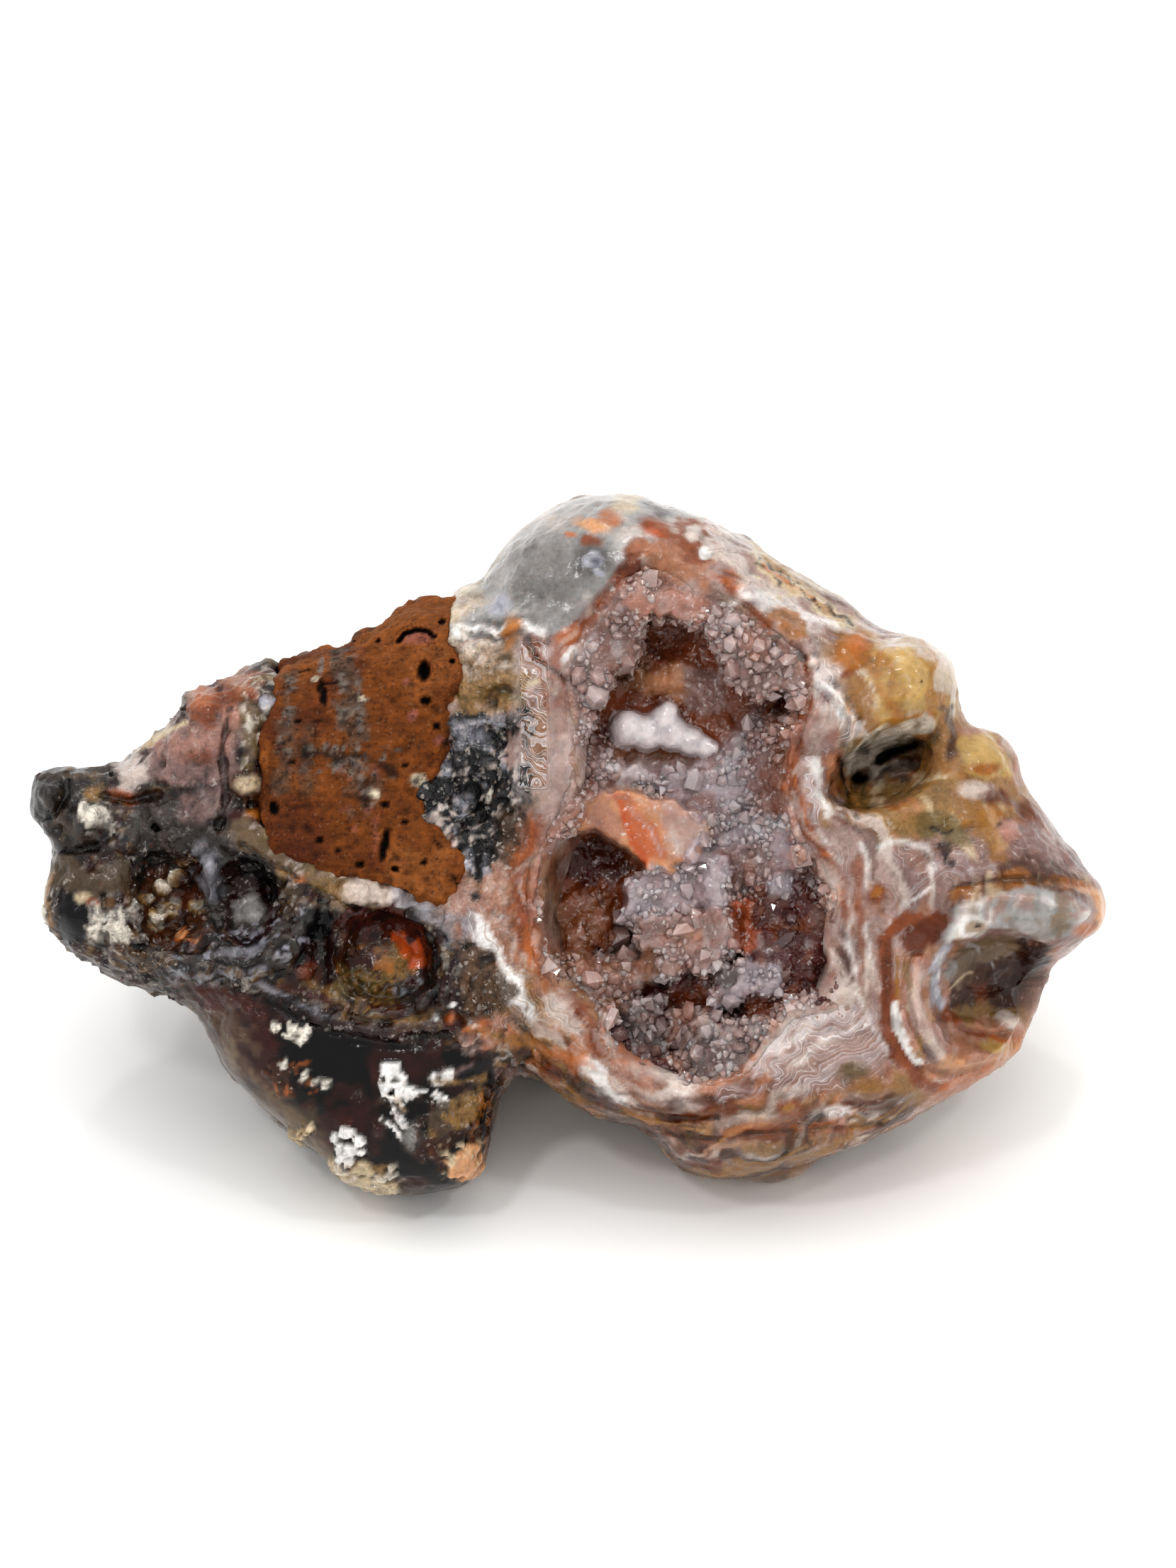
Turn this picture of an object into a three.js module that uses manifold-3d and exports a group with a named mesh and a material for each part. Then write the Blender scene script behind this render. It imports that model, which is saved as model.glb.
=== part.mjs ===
// A fire agate specimen, 95 mm long. A broken nodule of banded chalcedony, with a hollow
// lined by quartz crystals, has grown against a block of rhyolite and a dark, bubbly mass.
//
// Lengths are millimetres. The shapes are set out square to the broken face: u runs to the
// right, v up the face and w out of it, from a point in the middle of the widest section.
// FACE_LEAN then leans the face back, so that the group has +Z up, +X to the right and the
// face towards -Y. The origin is at the middle of the box round the stone, on the surface
// that the stone lies on.

import * as THREE from "three";
import { mergeVertices } from "three/addons/utils/BufferGeometryUtils.js";
import Module from "manifold-3d";

const wasm = await Module();
wasm.setup();

const FACE_LEAN = 50; // degrees between the face's v axis and the surface it lies on
const FACE_HEIGHT = 8.5; // general height of the face above the widest section
const FACE_ROUND = 7; // how far in from the outline the face is rounded
const BACK_DEPTH = 24; // general depth of the back below the widest section
const BACK_ROUND = 21;
const STONE_STEP = 3.1; // facet sizes
const POCKET_STEP = 2.9;
const CRUST_STEP = 2.1;
const POCKET_TOP = 15; // the hollow's wall is upright at this height
const POCKET_DEPTH = 18.5; // from there to its floor
const POCKET_ROUND = 9;
const POCKET_MOUTH = 22; // the cutter for the hollow ends here, clear of the face
const JOINT_GAP = 0.35; // between the block and the chalcedony
const CRUST_GAP = 0.6; // behind the crust
const FLOOR_CUT = 3; // height of the three flat breaks that it lies on, off the lowest point
const CRYSTALS = 48;

// The specimen's outline, seen square to the face.
const OUTLINE = [
  [-47.6, 3.9], [-47.1, 5.3], [-46.1, 6.1], [-44.7, 6.4], [-43.2, 6.8], [-42.1, 6.6],
  [-40.9, 5.9], [-39.5, 6.1], [-38.4, 7.5], [-37.6, 8.8], [-36.6, 9.3], [-35, 9.6],
  [-33.6, 10.8], [-33.3, 12.1], [-32.5, 13.2], [-31, 13.8], [-28.9, 15.3], [-27.4, 15.6],
  [-23.8, 16.2], [-20, 17.7], [-18.8, 17.6], [-16.9, 18.8], [-14.9, 20.4], [-13.7, 21.1],
  [-10, 21.8], [-8.6, 22], [-7.5, 23.6], [-6.1, 25.8], [-4.1, 27.8], [-1.6, 29.4],
  [1.1, 30.5], [3.8, 31.2], [6.2, 30.8], [11.6, 29.2], [15, 27.2], [21.9, 23.1],
  [25.3, 20.9], [26.4, 19.4], [27.5, 18.3], [28.9, 18.4], [30.8, 17.4], [32.5, 15.4],
  [34.1, 13.2], [33.9, 11.7], [34.1, 10.2], [35.6, 10.2], [37.5, 8.9], [38.8, 7.4],
  [39.2, 5.6], [40.6, 3.9], [41.6, 3.5], [43.6, 0.3], [46.3, -2.6], [47.2, -4.4],
  [47.2, -6], [46.6, -7.5], [45.9, -8.4], [44.6, -8.6], [43.6, -9.7], [43, -11.2],
  [41.9, -13.1], [41.4, -15], [41.2, -16.6], [40.6, -17.9], [38.8, -19.4], [35.6, -21.3],
  [31.2, -23.9], [26.9, -26.1], [20.6, -28.4], [16.9, -29.1], [14.7, -29.2], [14, -28.3],
  [12.5, -28.9], [10.4, -28.6], [8.6, -26.2], [6.2, -25.2], [1.8, -23.9], [0, -22.4],
  [-2.1, -21], [-3.5, -19.5], [-5.2, -19.8], [-5.9, -21.6], [-6.2, -24.4], [-6.8, -27.2],
  [-7.8, -29.4], [-10, -30.8], [-13.1, -31.1], [-16.2, -30.6], [-19.4, -29.4], [-22.2, -27.3],
  [-28.1, -22.2], [-30.4, -19.6], [-31.4, -17.2], [-32.2, -15.4], [-35.1, -13.4], [-38.1, -12.2],
  [-40.5, -11.6], [-44.4, -7.6], [-45.5, -6.2], [-45.8, -4.2], [-45.4, -2.1], [-44.5, -0.4],
  [-44.8, 0.9], [-46.1, 1.8], [-47.1, 2.8],
];

// Where the rhyolite block meets the chalcedony, seen square to the face. It goes right
// through the stone, and stands clear of it past the top edge.
const BLOCK = [
  [-24.8, 19.4], [-25.1, 15], [-26, 11.6], [-26.2, 6.6], [-26.4, 1.9], [-25.1, 0],
  [-23, -1.4], [-20.6, -2.6], [-18.6, -3.3], [-15.9, -3.1], [-13.1, -4.1], [-11.8, -5.1],
  [-10, -4.5], [-9.5, -2.6], [-9.7, -0.6], [-11.1, 0.8], [-12.5, 2.4], [-13.9, 4.6],
  [-12.2, 5.5], [-11.3, 7.2], [-10.4, 8.8], [-10.4, 11.4], [-9.7, 13.9], [-9, 15],
  [-9.7, 16.6], [-10.4, 18.4], [-10, 20.1], [-9.1, 21.9], [-8, 23.5], [-6.9, 30],
  [-10, 34], [-24, 30],
];

// The mouth of the crystal-lined hollow.
const MOUTH = [
  [6.6, 24.5], [10, 22.4], [13.8, 21.4], [16.4, 19.4], [19.5, 16.9], [21, 14.2],
  [20.9, 11.2], [19.4, 8.1], [19, 5], [19.8, 1.2], [21.9, -1.8], [23.4, -4.5],
  [23.2, -8.8], [24.2, -11.9], [23.8, -14.2], [19.4, -14.9], [17, -17.5], [15, -20.2],
  [11.2, -21.2], [7.6, -20.9], [4.4, -18.8], [2.9, -15.6], [0, -13.1], [-2.4, -10.1],
  [-3.1, -6.2], [-2.8, -2], [-1.5, 0.8], [0.8, 5], [0.9, 9.4], [0.5, 12.5],
  [0, 15.6], [2, 18.9], [4.2, 22],
];

// Broad rises and falls of a surface: middle, radii, degrees turned, and height.
const FACE_SWELLS = [
  { at: [-1.5, 7], r: [5, 15], turn: 0, rise: 2.4 }, // nodule rim left of the hollow
  { at: [22.5, 9], r: [5, 12], turn: 0, rise: 2 }, // nodule rim right of it
  { at: [8, 26], r: [11, 5], turn: -20, rise: 1.8 },
  { at: [12, -22], r: [16, 5], turn: -5, rise: 1.6 },
  { at: [-8, 5], r: [3.2, 8], turn: 8, rise: -2.4 }, // trough along the block
  { at: [-18, 8], r: [8, 11], turn: 0, rise: -0.8 }, // flat top of the block
  { at: [-38, 3], r: [9, 8], turn: 0, rise: -3.2 }, // left end falls away
  { at: [-27, -9.5], r: [9, 1.8], turn: 22, rise: 1.6 }, // ridge between pits and lobe
  { at: [-19, -22], r: [11, 8], turn: -38, rise: -1.6 }, // smooth lower lobe
  { at: [29.5, 14], r: [5, 4.5], turn: 0, rise: 3 }, // yellow brow over the side cavity
  { at: [20, 23], r: [8, 2.6], turn: -35, rise: -2.2 }, // shelf along the top right edge
  { at: [40, -5.6], r: [9, 2.6], turn: -4, rise: 3 }, // nose over the cup
  { at: [33, 1], r: [9, 4], turn: -15, rise: 1 },
  { at: [29.8, -14], r: [2.4, 8], turn: 12, rise: 1.4 }, // left wall of the cup
];
const BACK_SWELLS = [
  { at: [8, 6], r: [16, 12], turn: 20, rise: 3 },
  { at: [-18, 4], r: [10, 12], turn: 0, rise: -3 },
  { at: [30, -4], r: [9, 8], turn: 0, rise: -3.5 },
  { at: [-34, -2], r: [8, 8], turn: 0, rise: -5 },
  { at: [22, 8], r: [6, 6], turn: 0, rise: 3 },
  { at: [-4, -12], r: [6, 6], turn: 0, rise: 3.5 },
  { at: [12, -12], r: [7, 6], turn: 30, rise: 2.5 },
  { at: [-8, 16], r: [7, 5], turn: 10, rise: 2.5 },
  { at: [6, 20], r: [6, 5], turn: 0, rise: 2.5 },
  { at: [-26, 10], r: [5, 5], turn: 0, rise: 2.4 },
  { at: [-20, -16], r: [6, 6], turn: 0, rise: 2.4 },
  { at: [33, 4], r: [4.5, 5], turn: 0, rise: 2.4 },
  { at: [22, -16], r: [5, 5], turn: 0, rise: 2.2 },
  { at: [2, -1], r: [4, 12], turn: 60, rise: -2.4 },
  { at: [16, -3], r: [3, 9], turn: -50, rise: -2 },
];

// Round lumps that stand out of the stone: middle, radii, degrees turned in the face.
const LUMPS = [
  { at: [-44.4, 3.9, 0.5], r: [3.4, 3, 4], turn: 0 }, // black bulb at the left tip
  { at: [-42.2, 1.7, 3], r: [3, 3.2, 3], turn: 0 },
  { at: [-43, -6.2, 1.5], r: [3.2, 3.8, 4], turn: 20 },
  { at: [-32, 10.5, 2.5], r: [3.2, 3, 4.5], turn: 0 }, // orange knob on the upper edge
  { at: [29.5, 13.8, 3.5], r: [5.2, 4.8, 7], turn: -30 },
  { at: [36.6, 7.2, 0.5], r: [3.6, 3.4, 4.5], turn: 0 },
  { at: [41, -5.8, 2], r: [6.4, 2.8, 6.5], turn: -6 },
  { at: [11, -27.2, -2], r: [2.6, 2.2, 4], turn: 0 }, // feet under the nodule
  { at: [17, -27.4, -5], r: [4, 2.4, 5], turn: 0 },
  { at: [-30, 4, -17], r: [7, 6, 6], turn: 0 }, // bubbly back
  { at: [26, 4, -18], r: [7, 8, 6], turn: 0 },
  { at: [5, 14, -20], r: [8, 7, 7], turn: 0 },
  { at: [-2, -14, -16], r: [8, 7, 9], turn: 0 },
  { at: [18, -14, -17], r: [8, 7, 8], turn: 0 },
];

// Hollows sunk into the face, and the glassy domes that grew in two of them.
const PITS = [
  { at: [-35, -4.7, 6.2], r: [3.9, 4.1, 4.6], turn: 0 },
  { at: [-28, -4.9, 7], r: [3.5, 3.9, 4.4], turn: 0 },
  { at: [-15.7, -10.4, 8], r: [5, 4.9, 5.6], turn: 0 },
  { at: [-21.9, -7.4, 9.6], r: [2.2, 3, 3], turn: 0 },
  { at: [27.6, 6.4, 9.5], r: [6, 3.1, 8.5], turn: 27 }, // side cavity under the brow
  { at: [37.6, -13, 7.8], r: [6, 5.2, 12], turn: 25 }, // the cup
];
const DOMES = [
  { at: [-28.1, -6.1, 3.2], r: [2.2, 2.2, 2.6], turn: 0 },
  { at: [-16.2, -11, 3], r: [3.5, 3.3, 3.4], turn: 0 },
];

// Rises and falls of the crystal crust, from the floor of the hollow.
const CRUST_SWELLS = [
  { at: [9, 15.5], r: [6.2, 5], turn: 0, rise: -2.2 }, // deep upper hollow
  { at: [16, 3.5], r: [3.8, 9], turn: 0, rise: 4.6 }, // slope up to the right rim
  { at: [7.2, 2], r: [5.4, 2.5], turn: -14, rise: 8 }, // orange ledge
  { at: [1.6, -4.6], r: [3.4, 3.8], turn: 0, rise: -2.6 }, // left cave
  { at: [2.6, -10.8], r: [4.6, 2.6], turn: -25, rise: 4.4 },
  { at: [9.4, -6.2], r: [4.6, 4.2], turn: 0, rise: 6.4 }, // middle mass of crystals
  { at: [9.6, -13.6], r: [5, 2], turn: 8, rise: -2.2 }, // lower cave
  { at: [15.4, -12.6], r: [2.4, 1.8], turn: 0, rise: 4.6 },
  { at: [6.2, -16.4], r: [2.4, 2], turn: 0, rise: 4 },
  { at: [13.6, -18.2], r: [4.2, 2.2], turn: 12, rise: 5.6 },
  { at: [20, -6.5], r: [3.4, 6.5], turn: 0, rise: 4.2 }, // dark red knobs
];
const CRUST_FLOOR = 10.4; // how far the crust's floor lies below the face
const CRUST_LIP = 0.5; // and its edge
const CRUST_LEAST = 2; // thickness, straight down
const CRUST_RIM = 1.5; // width of its edge
const CRUST_SLOPE = 3.2; // how far in from there it reaches its floor
// The white knob in the hollow: three drops grown together.
const KNOB = [
  { at: [5.7, 10, 2.2], r: [2.5, 2.3, 3], turn: 0 },
  { at: [9, 11.4, 2.6], r: [1.7, 2.1, 2.8], turn: 0 },
  { at: [11, 9, 3], r: [3, 1.7, 2.6], turn: -22 },
];

const radians = (degrees) => (degrees * Math.PI) / 180;

// A closed smooth line through points, as a polygon with short sides.
function closedLine(points, sides) {
  const curve = new THREE.CatmullRomCurve3(
    points.map(([u, v]) => new THREE.Vector3(u, v, 0)),
    true,
    "centripetal",
  );
  return curve.getPoints(sides).slice(0, -1).map((p) => [p.x, p.y]);
}

// Distance from a point to a polygon's line, positive inside.
function insideBy(line, u, v) {
  let nearest = Infinity;
  let inside = false;
  for (let i = 0, j = line.length - 1; i < line.length; j = i++) {
    const [au, av] = line[i];
    const [bu, bv] = line[j];
    const du = bu - au;
    const dv = bv - av;
    const share = ((u - au) * du + (v - av) * dv) / (du * du + dv * dv);
    const t = Math.min(Math.max(share, 0), 1);
    nearest = Math.min(nearest, Math.hypot(u - au - t * du, v - av - t * dv));
    if (av > v !== bv > v && u < ((bu - au) * (v - av)) / (bv - av) + au) inside = !inside;
  }
  return inside ? nearest : -nearest;
}

// How far (u, v) lies from a form's middle, in its own radii.
function reach(form, u, v) {
  const c = Math.cos(radians(form.turn));
  const s = Math.sin(radians(form.turn));
  const du = u - form.at[0];
  const dv = v - form.at[1];
  return Math.hypot((du * c + dv * s) / form.r[0], (dv * c - du * s) / form.r[1]);
}

const swelling = (swells, u, v) =>
  swells.reduce((sum, s) => sum + s.rise * Math.exp(-(reach(s, u, v) ** 2)), 0);

// Depth inside an ellipsoid, about right near its surface.
const inBall = (ball, u, v, w) =>
  (1 - Math.hypot(reach(ball, u, v), (w - ball.at[2]) / ball.r[2])) * Math.min(...ball.r);

// The larger of two depths, with the crease between them filled over a width.
function blend(a, b, width) {
  const h = Math.max(width - Math.abs(a - b), 0) / width;
  return Math.max(a, b) + (h * h * width) / 4;
}

const joined = (balls, start, width, u, v, w) =>
  balls.reduce((depth, ball) => blend(depth, inBall(ball, u, v, w), width), start);

const stoneLine = closedLine(OUTLINE, 260);
const mouthLine = closedLine(MOUTH, 120);

const faceHeight = (u, v) => FACE_HEIGHT + swelling(FACE_SWELLS, u, v);

// Depth inside the whole stone, before the hollow and the block are parted from it.
function inStone(u, v, w) {
  const edge = insideBy(stoneLine, u, v);
  const round = w > 0 ? FACE_ROUND : BACK_ROUND;
  const depth = w > 0 ? faceHeight(u, v) : BACK_DEPTH + swelling(BACK_SWELLS, u, v);
  const run = Math.max(round - edge, 0) / round;
  const pillow = (1 - Math.hypot(run, w / depth)) * Math.min(round, depth);
  return joined(LUMPS, pillow, 1.6, u, v, w);
}

// Depth inside the bowl that holds the crust and the open hollow.
function inPocket(u, v, w) {
  const run = Math.max(POCKET_ROUND - insideBy(mouthLine, u, v), 0) / POCKET_ROUND;
  const drop = Math.max(POCKET_TOP - w, 0) / POCKET_DEPTH;
  return Math.min((1 - Math.hypot(run, drop)) * POCKET_ROUND, POCKET_MOUTH - w);
}

// Height of the bowl's wall or floor.
function bowlHeight(u, v) {
  const run = Math.max(POCKET_ROUND - insideBy(mouthLine, u, v), 0) / POCKET_ROUND;
  return POCKET_TOP - POCKET_DEPTH * Math.sqrt(Math.max(1 - run * run, 0));
}

// Height of the crust's open side.
function crustHeight(u, v) {
  const edge = Math.max(insideBy(mouthLine, u, v) - CRUST_RIM, 0) / CRUST_SLOPE;
  const sunk = 1 - Math.exp(-(edge ** 2));
  const floor = swelling(CRUST_SWELLS, u, v) - CRUST_FLOOR + CRUST_LIP;
  const rim = faceHeight(u, v) - CRUST_LIP;
  const open = rim + sunk * Math.min(floor, -0.4);
  return Math.min(blend(open, bowlHeight(u, v) + CRUST_LEAST, 0.8), rim);
}

// Depth below the crust's open side, in a box a little wider than the hollow.
function inCrust(u, v, w) {
  const open = joined(KNOB, (crustHeight(u, v) - w) * 0.7, 0.6, u, v, w);
  return Math.min(open, w + 8, u + 7, 28 - u, v + 25, 28 - v);
}

// The surface where a depth is 0, as a closed mesh of facets about one step wide: a vertex
// in each cell that the surface crosses, and a quad round each grid edge that it crosses.
function skin(depthAt, low, high, step) {
  const count = low.map((value, axis) => Math.ceil((high[axis] - value) / step) + 1);
  const stride = [1, count[0], count[0] * count[1]];
  const at = (i, axis) => low[axis] + i * step;
  const depths = new Float64Array(count[0] * count[1] * count[2]);
  for (let k = 0; k < count[2]; k++)
    for (let j = 0; j < count[1]; j++)
      for (let i = 0; i < count[0]; i++)
        depths[i + j * stride[1] + k * stride[2]] = depthAt(at(i, 0), at(j, 1), at(k, 2));
  unpinch(depths, count, stride);
  const positions = [];
  const vertexOf = new Map();
  const corners = [0, 1, 2, 3, 4, 5, 6, 7].map((c) => [c & 1, (c >> 1) & 1, c >> 2]);
  for (let k = 0; k < count[2] - 1; k++)
    for (let j = 0; j < count[1] - 1; j++)
      for (let i = 0; i < count[0] - 1; i++) {
        const cell = i + j * stride[1] + k * stride[2];
        const depth = corners.map(([a, b, c]) => depths[cell + a + b * stride[1] + c * stride[2]]);
        const sum = [0, 0, 0];
        let crossings = 0;
        for (let c = 0; c < 8; c++)
          for (let axis = 0; axis < 3; axis++) {
            const other = c | (1 << axis);
            if (other === c || depth[c] > 0 === depth[other] > 0) continue;
            const share = depth[c] / (depth[c] - depth[other]);
            crossings++;
            for (let x = 0; x < 3; x++) sum[x] += corners[c][x] + (x === axis ? share : 0);
          }
        if (!crossings) continue;
        vertexOf.set(cell, positions.length / 3);
        [i, j, k].forEach((index, x) => positions.push(at(index + sum[x] / crossings, x)));
      }
  settle(depthAt, positions, step);
  const faces = [];
  for (let k = 1; k < count[2] - 1; k++)
    for (let j = 1; j < count[1] - 1; j++)
      for (let i = 1; i < count[0] - 1; i++)
        for (let axis = 0; axis < 3; axis++) {
          const here = i + j * stride[1] + k * stride[2];
          const solid = depths[here] > 0;
          if (solid === depths[here + stride[axis]] > 0) continue;
          const p = stride[(axis + 1) % 3];
          const q = stride[(axis + 2) % 3];
          const ring = [here - p - q, here - q, here, here - p].map((c) => vertexOf.get(c));
          quad(positions, solid ? ring : ring.reverse(), faces);
        }
  const geometry = new THREE.BufferGeometry();
  geometry.setAttribute("position", new THREE.Float32BufferAttribute(positions, 3));
  return geometry.setIndex(faces);
}

// Turns over the depth nearest to 0 on each square of the grid whose corners are in and out by
// turns, where four faces would meet along one edge.
function unpinch(depths, count, stride) {
  let turned = true;
  while (turned) {
    turned = false;
    for (let axis = 0; axis < 3; axis++) {
      const p = stride[(axis + 1) % 3];
      const q = stride[(axis + 2) % 3];
      for (let k = 0; k < count[2] - 1; k++)
        for (let j = 0; j < count[1] - 1; j++)
          for (let i = 0; i < count[0] - 1; i++) {
            const here = i + j * stride[1] + k * stride[2];
            const ring = [here, here + p, here + p + q, here + q];
            const solid = ring.map((c) => depths[c] > 0);
            if (solid[0] !== solid[2] || solid[1] !== solid[3] || solid[0] === solid[1]) continue;
            const least = ring.reduce((m, c) => (Math.abs(depths[c]) < Math.abs(depths[m]) ? c : m));
            depths[least] = depths[least] > 0 ? -0.01 : 0.01;
            turned = true;
          }
    }
  }
}

// Moves each vertex a little way down the slope of the depth, on to the surface itself.
function settle(depthAt, positions, step) {
  const small = step / 20;
  const furthest = step / 4;
  for (let i = 0; i < positions.length; i += 3) {
    for (let pass = 0; pass < 3; pass++) {
      const p = positions.slice(i, i + 3);
      const depth = depthAt(...p);
      const slope = p.map((_, x) => {
        const q = p.slice();
        q[x] += small;
        return (depthAt(...q) - depth) / small;
      });
      const steep = slope.reduce((sum, s) => sum + s * s, 0) + 1e-6;
      const length = Math.abs(depth) / Math.sqrt(steep);
      const share = (-depth / steep) * Math.min(1, furthest / Math.max(length, 1e-6));
      for (let x = 0; x < 3; x++) positions[i + x] += slope[x] * share;
    }
  }
}

// Two triangles, parted along the shorter diagonal.
function quad(positions, [a, b, c, d], faces) {
  const apart = (m, n) =>
    [0, 1, 2].reduce((sum, x) => sum + (positions[m * 3 + x] - positions[n * 3 + x]) ** 2, 0);
  if (apart(a, c) < apart(b, d)) faces.push(a, b, c, a, c, d);
  else faces.push(a, b, d, b, c, d);
}

// A mesh as a solid. A skin has its vertices joined up already.
function solidOf(geometry) {
  const bare = geometry.clone();
  bare.deleteAttribute("normal");
  bare.deleteAttribute("uv");
  const merged = geometry.attributes.uv ? mergeVertices(bare, 1e-4) : bare;
  const vertProperties = merged.attributes.position.array;
  return new wasm.Manifold(
    new wasm.Mesh({ numProp: 3, vertProperties, triVerts: new Uint32Array(merged.index.array) }),
  );
}

const largest = (solid) =>
  solid.decompose().reduce((kept, body) => (body.volume() > kept.volume() ? body : kept));

// An ellipsoid as a solid.
function ball({ at, r, turn }) {
  const geometry = new THREE.SphereGeometry(1, 12, 8);
  geometry.rotateX(Math.PI / 2);
  geometry.scale(...r);
  geometry.rotateZ(radians(turn));
  geometry.translate(...at);
  return solidOf(geometry);
}

const balls = (list) => wasm.Manifold.union(list.map(ball));

// The block's rough prism through the stone, wider towards the back, with its outline moved
// out by grow.
function blockPrism(grow) {
  const line = closedLine(BLOCK, 42);
  const around = line.length;
  const wide = line.map(([u, v], i) => {
    const [pu, pv] = line[(i + around - 1) % around];
    const [nu, nv] = line[(i + 1) % around];
    const length = Math.hypot(nu - pu, nv - pv);
    return new THREE.Vector2(u + (grow * (nv - pv)) / length, v - (grow * (nu - pu)) / length);
  });
  const options = { depth: 60, bevelEnabled: false, steps: 7 };
  const geometry = new THREE.ExtrudeGeometry(new THREE.Shape(wide), options);
  const position = geometry.attributes.position;
  for (let i = 0; i < position.count; i++) {
    const w = position.getZ(i) - 40;
    const widen = 1 + Math.max(-w, 0) * 0.011;
    const sway = Math.max(-w, 0) * 0.09 * Math.sin(w * 0.33);
    const u = -17 + (position.getX(i) + 17) * widen + sway;
    position.setXYZ(i, u, 8 + (position.getY(i) - 8) * widen - 0.6 * sway, w);
  }
  return geometry;
}

// Quartz points on the crust: spread by the golden angle, upright to it and a little askew.
function crystalPoints() {
  const random = mulberry(7);
  const points = [];
  for (let i = 0; points.length < CRYSTALS && i < 4000; i++) {
    const u = -4 + 30 * ((i * 0.6180339887) % 1);
    const v = -22 + 48 * ((i * 0.7548776662) % 1);
    const edge = insideBy(mouthLine, u, v);
    if (edge < 2.2 || reach(KNOB[1], u, v) < 2.2) continue;
    const radius = 1.1 + 1.2 * random() ** 2;
    const height = radius * (1.2 + 0.6 * random());
    const point = new THREE.ConeGeometry(radius, height, 6);
    const lift = 0.5;
    const rise = crustHeight(u + lift, v) - crustHeight(u - lift, v);
    const climb = crustHeight(u, v + lift) - crustHeight(u, v - lift);
    const askew = () => 0.8 * (random() - 0.5);
    const axis = new THREE.Vector3(-rise + askew(), -climb + askew(), 2 * lift).normalize();
    point.rotateY(random() * Math.PI);
    point.applyQuaternion(
      new THREE.Quaternion().setFromUnitVectors(new THREE.Vector3(0, 1, 0), axis),
    );
    const sunk = axis.multiplyScalar(height * 0.15);
    point.translate(u + sunk.x, v + sunk.y, crustHeight(u, v) + sunk.z);
    points.push(solidOf(point));
  }
  return points;
}

// A seeded source of numbers from 0 to 1.
function mulberry(seed) {
  let state = seed;
  return () => {
    state = (state + 0x6d2b79f5) | 0;
    let t = Math.imul(state ^ (state >>> 15), 1 | state);
    t = (t + Math.imul(t ^ (t >>> 7), 61 | t)) ^ t;
    return ((t ^ (t >>> 14)) >>> 0) / 4294967296;
  };
}

const whole = solidOf(skin(inStone, [-55, -39, -38], [55, 39, 22], STONE_STEP));
const stone = whole.subtract(balls(PITS)).add(balls(DOMES));
const pocket = solidOf(skin(inPocket, [-8, -26, -8], [29, 29, 24], POCKET_STEP));
const block = solidOf(blockPrism(0));
const blockCut = solidOf(blockPrism(JOINT_GAP));
const bed = solidOf(
  skin((u, v, w) => inPocket(u, v, w) - CRUST_GAP, [-8, -26, -8], [29, 29, 24], POCKET_STEP),
);
const crustBody = solidOf(skin(inCrust, [-10, -28, -11], [31, 31, 20], CRUST_STEP));

const pieces = {
  agate_body: stone.subtract(pocket).subtract(blockCut),
  rhyolite_matrix: stone.intersect(block).subtract(pocket),
  quartz_crust: largest(wasm.Manifold.union([crustBody, ...crystalPoints()]).intersect(bed)),
};

// Leans the face back, then finds the surface that the stone lies on and the box's middle.
const leaned = Object.entries(pieces).map(([name, solid]) => [
  name,
  solid.rotate([FACE_LEAN, 0, 0]),
]);
const box = leaned.map(([, solid]) => solid.boundingBox());
const least = (axis) => Math.min(...box.map((b) => b.min[axis]));
const most = (axis) => Math.max(...box.map((b) => b.max[axis]));
const floor = least(2) + FLOOR_CUT;
const underFloor = solidOf(
  new THREE.BoxGeometry(200, 200, 40).translate(0, 0, floor - 20),
);
const shift = [-(least(0) + most(0)) / 2, -(least(1) + most(1)) / 2, -floor];

const looks = {
  agate_body: new THREE.MeshStandardMaterial({ color: 0xb89a8a, roughness: 0.35, metalness: 0 }),
  rhyolite_matrix: new THREE.MeshStandardMaterial({ color: 0x8a4a24, roughness: 0.8, metalness: 0 }),
  quartz_crust: new THREE.MeshStandardMaterial({ color: 0xc9b4b6, roughness: 0.2, metalness: 0 }),
};

const specimen = new THREE.Group();
for (const [name, solid] of leaned) {
  const cut = solid.subtract(underFloor).translate(shift);
  const { vertProperties, triVerts, numProp } = cut.getMesh();
  const position = new Float32Array((vertProperties.length / numProp) * 3);
  for (let i = 0; i < position.length / 3; i++)
    position.set(vertProperties.subarray(i * numProp, i * numProp + 3), i * 3);
  const geometry = new THREE.BufferGeometry();
  geometry.setAttribute("position", new THREE.BufferAttribute(position, 3));
  geometry.setIndex(new THREE.BufferAttribute(triVerts, 1));
  geometry.computeVertexNormals();
  const mesh = new THREE.Mesh(geometry, looks[name]);
  mesh.name = name;
  specimen.add(mesh);
}

export default specimen;
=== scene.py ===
import bpy, bmesh
import numpy as np
from itertools import product
from math import radians, sin, cos
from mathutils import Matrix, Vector, kdtree


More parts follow.
